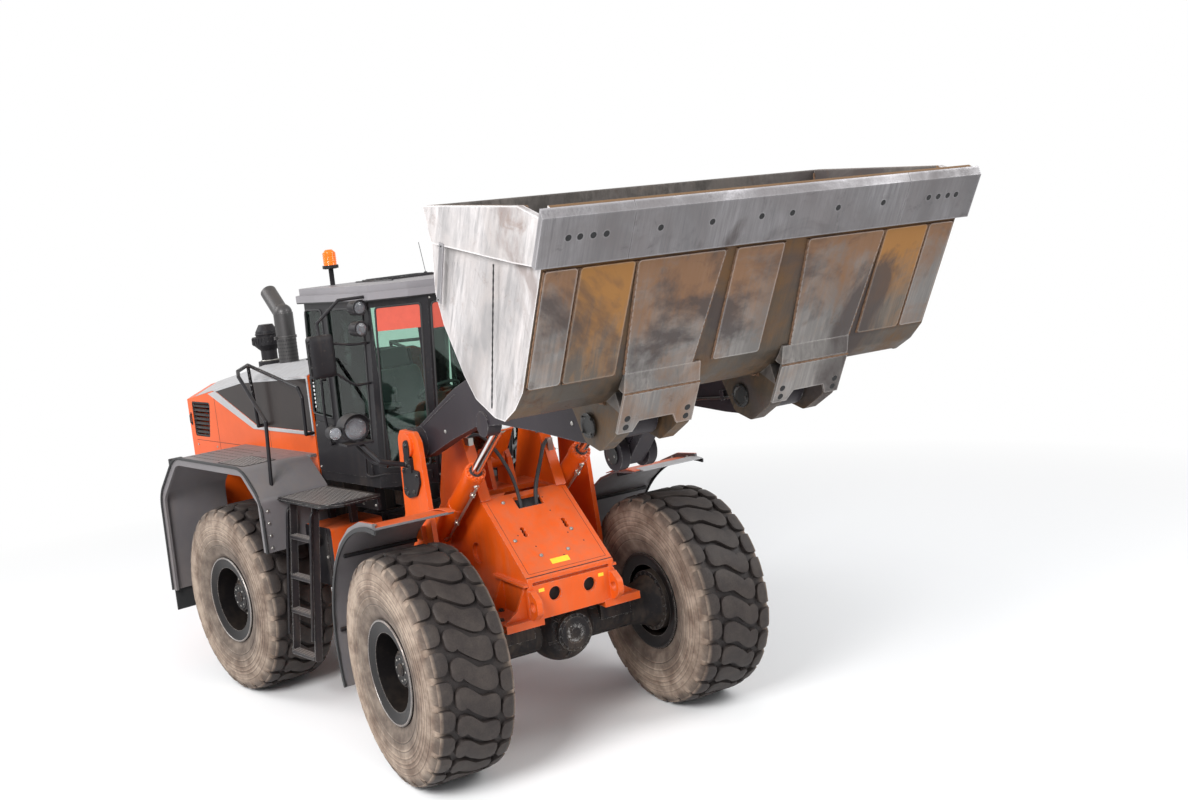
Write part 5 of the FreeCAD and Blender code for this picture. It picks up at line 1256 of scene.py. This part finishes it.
for s in (1, -1):
    c.bolts([(x, s * 0.7795, z) for x, z in ((-0.90, 2.07), (-0.88, 2.45))], Y * s, 0.009, 3)
    c.skin([[facet(u, z, s, out) for u, z in rect(-0.20, 0.20, 1.99, 2.07)] for out in (0.003, 0.014)], 1)
    for z in (3.33, 3.505):
        x = 0.08 + (z - 1.95) * RAKE
        lamp(c, (x, s * 0.86, z), X, (-0.004, [(0, 0.066), (0.012, 0.066), (0.014, 0.055), (0.008, 0.054)], 2,
            30),
             (0.0005, [(0, 0.054), (0.001, 0.053)], 4, 26), (0.002, [(0, 0.053), (0.005, 0.045), (0.008, 0.02)],
                 5, 26))
        for k in range(9):
            c.ring((x - 0.09 + k * 0.008, s * 0.86, z), X, 0.060, 0.0022, 2, 26, 5)
    lamp(c, (-1.108, s * 0.5, 3.59), -X,
        (0, [(0, 0.066), (0.010, 0.066), (0.012, 0.055), (0.006, 0.054)], 2, 30),
         (0.004, [(0, 0.053), (0.001, 0.052)], 4, 26), (0.006, [(0, 0.052), (0.006, 0.04)], 5, 26))
    c.tube([(0.10, s * 0.765, 2.86), (0.13, s * 0.93, 2.865), (0.12, s * 1.09, 2.99), (0.11, s * 1.14, 3.02)],
        0.011, 2, 10, 0.05)
    c.tube([(0.14, s * 0.765, 3.20), (0.15, s * 0.95, 3.21), (0.12, s * 1.09, 3.24)], 0.011, 2, 10, 0.05)
    c.patch("x", [(s * 1.105, 2.985), (s * 1.105, 3.305), (s * 1.295, 3.305), (s * 1.295, 2.985)], 0.0775,
        0.003, 4, 0.03)
    c.loop([(0.079, y, z) for y, z in rounded([(s * 1.10, 2.98), (s * 1.10, 3.31), (s * 1.30, 3.31),
        (s * 1.30, 2.98)], 0.03)], 0.006, 2)
    c.skin([[(x, s * y, z) for y, z in rounded([(1.09 + g, 2.97 + g), (1.09 + g, 3.32 - g),
        (1.31 - g, 3.32 - g), (1.31 - g, 2.97 + g)], 0.04)]
            for x, g in ((0.139, 0.002), (0.152, 0.016), (0.158, 0.04))], 2)
    c.loop([(x, s * y, 3.555) for x,
        y in ((-1.0, 0.0), (-0.98, 0.74), (-0.89, 0.812), (0.29, 0.812), (0.50, 0.57), (0.62, 0.30),
        (0.628, 0.0))], 0.006, 0)
    c.tube([(-0.7, s * 0.3, 3.681), (-0.1, s * 0.3, 3.681)], 0.012, 1, 8, 0)
c.tube([(-0.04, -0.765, 2.24), (-0.04, -0.82, 2.23), (-0.06, -0.82, 2.07), (0.01, -0.82, 2.05),
    (0.12, -0.72, 2.07), (0.14, -0.67, 2.07)], 0.011, 2, 10, 0.03)
c.tube([(front_x(2.10) + 0.012, -0.05, 2.10), (front_x(2.45) + 0.03, -0.02, 2.45),
    (front_x(2.80) + 0.02, 0.06, 2.80)], 0.007, 2, 8, 0.03)
c.tube([(front_x(2.50) + 0.012, 0.055, 2.50), (front_x(3.15) + 0.012, 0.065, 3.15)], 0.006, 0, 6, 0)
c.lathe((front_x(2.10) - 0.004, -0.05, 2.10), X, [(0, 0.025), (0.018, 0.022)], 2, 16)
c.skin([[(front_x(z) + g, y, z) for y, z in rect(-0.362, 0.362, 3.27, 3.482)] for g in (0.002, 0.005)], 9)
for s in (1, -1):
    c.skin([[facet(u, z, s, g) for u, z in rect(-0.182, 0.182, 3.29, 3.482)] for g in (0.002, 0.005)], 9)
c.box(-0.60, -0.30, -0.30, 0.30, 3.678, 3.700, 1)
# Dark strips on the roof box: painted shade in its vent slots.
for i in range(9):
    c.box(-0.585 + i * 0.032, -0.573 + i * 0.032, -0.27, 0.27, 3.699, 3.704, 7)
c.rod((-0.80, 0.52, 3.675), (-0.80, 0.52, 3.70), 0.016, 2)
c.rod((-0.80, 0.52, 3.70), (-0.86, 0.52, 3.98), 0.003, 2, 6)
for z in (3.885, 3.905, 3.925, 3.945, 3.962):
    c.ring((-0.86, -0.45, z), Z, 0.0578, 0.003, 6, 32, 6)
c.lathe((-0.86, -0.45, 3.826), Z, [(0, 0.05), (0.006, 0.072), (0.03, 0.072), (0.034, 0.06)], 2, 32)
for i in range(7):
    c.box(-1.02341, -1.01241, -0.45, 0.45, 2.06 + i * 0.05, 2.085 + i * 0.05, 2)
c.bolts([(front_x(z) + 0.002, y, z) for y in (-0.385, 0.385) for z in (2.02, 3.53)], (1, 0, 0.1), 0.008, 3)
c.done(0.0012, 40)
d = Piece("door_trim", "door", "r", "rubber", "black", "bolt", "mirror")
d.loop([(x, 0.7705, z) for x, z in rounded(DOOR_PANE, 0.04)], 0.010)
d.loop([(x, 0.7712, z) for x, z in rounded([(-0.525, 2.025), (-0.525, 3.485), (a_post(3.485) - 0.015, 3.485),
    (a_post(2.025) - 0.015, 2.025)], 0.03)], 0.005)
d.tube([(-0.10, 0.765, 2.34), (-0.10, 0.81, 2.36), (-0.10, 0.81, 2.66), (-0.10, 0.765, 2.68)], 0.010, 1, 10,
    0.03)
d.patch("y", [(-0.47, 2.06), (-0.47, 2.24), (-0.09, 2.24), (-0.09, 2.06)], 0.7685, 0.007, 1, 0.03)
d.lathe((-0.02, 0.788, 2.505), Y, [(0, 0.016), (0.008, 0.015)], 2, 16)
d.tube([(-0.45, 0.737, 2.32), (-0.45, 0.70, 2.36), (-0.45, 0.70, 3.1), (-0.45, 0.737, 3.14)], 0.011, 1, 10,
    0.03)
d.done(0.001, 40)


def cushion(name, section, a, n=5.0, channels=()):
    """Soft body along a line: section gives centre, half sizes and tilt for each step."""
    o = Piece(name, "rear_chassis", "r", "fabric")
    rings = []
    for (cx, cz), hw, ht, deg in section:
        ring = []
        for k in range(40):
            t = 2 * pi * k / 40
            y = math.copysign(abs(cos(t)) ** (2 / n), cos(t)) * hw
            w = math.copysign(abs(sin(t)) ** (2 / n), sin(t)) * ht
            dent = sum(0.008 * math.exp(-((y - c) / 0.007) ** 2) for c in channels)
            w -= math.copysign(min(dent, abs(w) * 0.5), w)
            w += 0.014 * max(0, abs(y) / a - 0.62) if w > 0 else 0
            ring.append((cx - w * sin(radians(deg)), y, cz + w * cos(radians(deg))))
        rings.append(ring)
    o.skin(rings)
    o = o.done(0, 60, "seat_fabric")
    return o


def line(p, q, hw, ht, deg, k=16, e=3.0):
    out = []
    for i in range(k + 1):
        t = i / k
        s = 1 - abs(2 * t - 1) ** 7
        f = max(0.30, s ** 0.5)
        out.append(((p[0] + (q[0] - p[0]) * t, p[1] + (q[1] - p[1]) * t), hw * (0.9 + 0.1 * f), ht * f, deg))
    return out


seat = Piece("seat_frame", "rear_chassis", "r", "black", "trim", "rubber", "bolt")
seat.box(-0.63, -0.21, -0.25, 0.25, 2.0, 2.03, 0)
for i in range(9):
    g = 0.018 * (i % 2)
    z = 2.03 + i * 0.026
    seat.skin([[(x, y, z + d) for x,
        y in ((-0.60 + g, -0.20 + g), (-0.24 - g, -0.20 + g), (-0.24 - g, 0.20 - g), (-0.60 + g, 0.20 - g))]
        for d in (0, 0.026)], 2)
seat.box(-0.64, -0.17, -0.235, 0.235, 2.262, 2.312, 0)
for y in (-0.296, 0.296):
    seat.prism("y", rounded([(-0.62, 2.52), (-0.62, 2.575), (-0.26, 2.60), (-0.26, 2.545)], 0.02), y - 0.034,
        y + 0.034, 1)
    seat.prism("y", [(-0.64, 2.30), (-0.64, 2.53), (-0.57, 2.53), (-0.55, 2.30)], y - 0.012, y + 0.012, 0)
seat.prism("y", [(-0.66, 2.34), (-0.772, 3.0), (-0.745, 3.02), (-0.63, 2.36)], -0.21, 0.21, 0)
seat.tube([(-0.30, -0.296, 2.60), (-0.295, -0.296, 2.68)], 0.010, 0, 10, 0)
seat.lathe((-0.295, -0.296, 2.67), Z, [(0, 0.014), (0.02, 0.024), (0.05, 0.022), (0.066, 0.01)], 1, 18)
seat.tube([(-0.66, 0.25, 2.95), (-0.60, 0.255, 2.75), (-0.42, 0.2555, 2.46), (-0.40, 0.2555, 2.40)], 0.003, 2,
    6, 0.05)
o = seat.done(0.002)
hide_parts("operator_seat")
cushion("seat_cushion", line((-0.65, 2.372), (-0.145, 2.385), 0.248, 0.066, 0), 0.248, 5, (-0.15, 0.15))
cushion("seat_backrest", line((-0.60, 2.41), (-0.69, 2.86), 0.235, 0.060, 78), 0.235, 5, (-0.14, 0.14))
cushion("seat_headrest", line((-0.70, 2.872), (-0.733, 3.045), 0.145, 0.045, 78), 0.145, 4)
i = Piece("cab_interior", "rear_chassis", "r", "trim", "black", "screen", "rubber", "dark", "bolt")
i.box(-0.93, -0.75, -0.70, 0.70, 2.0, 2.40, 0)
i.box(-0.75, -0.20, -0.71, -0.36, 2.0, 2.36, 0)
i.prism("y", [(-0.74, 2.36), (-0.72, 2.43), (-0.26, 2.43), (-0.20, 2.36)], -0.68, -0.40, 1)
for k in range(4):
    i.lathe((-0.62 + k * 0.11, -0.54, 2.432), Z, [(0, 0.02), (0.01, 0.019), (0.014, 0.01)], 1, 16)
i.patch("z", [(-0.74, -0.34), (-0.74, 0.68), (0.02, 0.68), (0.30, 0.36), (0.30, -0.36), (0.02, -0.66),
    (-0.18, -0.66), (-0.18, -0.34)], 2.0005, 0.008, 3)
i.patch("x", rect(-0.295, -0.185, 2.40, 2.68), 0.1775, 0.002, 1)
i.patch("x", rect(-0.285, -0.195, 2.53, 2.67), 0.176, 0.002, 2)
i.lathe((-0.030, 0, 2.68), (-0.42, 0, 0.91), [(-0.012, 0.05), (0.008, 0.048), (0.016, 0.03)], 1, 28)
i.tube([(-0.01, 0.03, 2.62), (0.0, 0.12, 2.66), (0.0, 0.17, 2.68)], 0.007, 1, 8, 0.02)
for y in (-0.16, 0.10, 0.20):
    i.prism("y", [(0.16, 2.03), (0.20, 2.03), (0.28, 2.14), (0.25, 2.15)], y - 0.035, y + 0.035, 3)
i.box(-0.60, 0.30, -0.60, 0.60, 3.535, 3.556, 0)
i.patch("x", rect(-0.34, 0.34, 3.36, 3.49), 0.485, 0.004, 1)
i.done(0.003, 40)


# floor, light and camera
def stage():
    me = bpy.data.meshes.new("floor")
    me.from_pydata([(-40, -40, 0), (40, -40, 0), (40, 40, 0), (-40, 40, 0)], [], [(0, 1, 2, 3)])
    o = bpy.data.objects.new("floor", me)
    bpy.context.scene.collection.objects.link(o)
    n = Nodes("floor_pale")
    n.set(base_color=(0.84, 0.84, 0.84, 1), roughness=0.9)
    away = node(n.t, "ShaderNodeVectorMath", operation="LENGTH")
    n.link(n.geo.outputs["Position"], away.inputs[0])
    far = n.ramp(away.outputs["Value"], 5.5, 12.0)
    white = node(n.t, "ShaderNodeEmission")
    fac = n.math("MULTIPLY", far, seen_rays(n.t))
    n.link(mix_shader(n.t, fac, n.p.outputs[0], white.outputs[0]), n.out.inputs[0])
    me.materials.append(n.mat)


stage()


def area(place, aim, size, power):
    d = bpy.data.lights.new("soft", "AREA")
    d.shape, d.size, d.energy = "DISK", size, power
    o = bpy.data.objects.new("soft", d)
    bpy.context.scene.collection.objects.link(o)
    o.location = place
    o.rotation_mode = "QUATERNION"
    o.rotation_quaternion = (Vector(aim) - Vector(place)).to_track_quat("-Z", "Y")


area((5, -10, 9), (0.5, 0, 1.8), 6, 1900)
area((-9, -6, 9), (0, 0, 1.5), 7, 600)
area((8, 6, 8), (0, 0, 1.5), 7, 700)
world = bpy.data.worlds.new("studio")
bpy.context.scene.world = world
world.use_nodes = True
wt = world.node_tree
wt.nodes.clear()
looks = []
for colour, strength in (((0.95, 0.97, 1.0, 1), 0.62), ((1, 1, 1, 1), 1.0)):
    sky = node(wt, "ShaderNodeBackground")
    sky.inputs[0].default_value, sky.inputs[1].default_value = colour, strength
    looks.append(sky.outputs[0])
wt.links.new(mix_shader(wt, seen_rays(wt), *looks), node(wt, "ShaderNodeOutputWorld").inputs[0])
bpy.context.scene.view_settings.view_transform = "Standard"

cam = bpy.data.cameras.new("camera")
cam.sensor_width, cam.lens = 36.0, 40.37
cam.clip_end = 200
eye = bpy.data.objects.new("camera", cam)
bpy.context.scene.collection.objects.link(eye)
# The photograph's camera, solved from the wheels and the bucket's edge.
RIGHT, ABOVE, BEHIND = (0.65468, 0.74886, -0.10295), (-0.03508, 0.16615, 0.98548), (0.75509, -0.64156, 0.13504)
EYE_AT = (9.11667, -6.13323, 4.039)
eye.matrix_world = Matrix([(*r, p) for r, p in zip(zip(RIGHT, ABOVE, BEHIND), EYE_AT)] + [(0, 0, 0, 1)])
bpy.context.scene.camera = eye
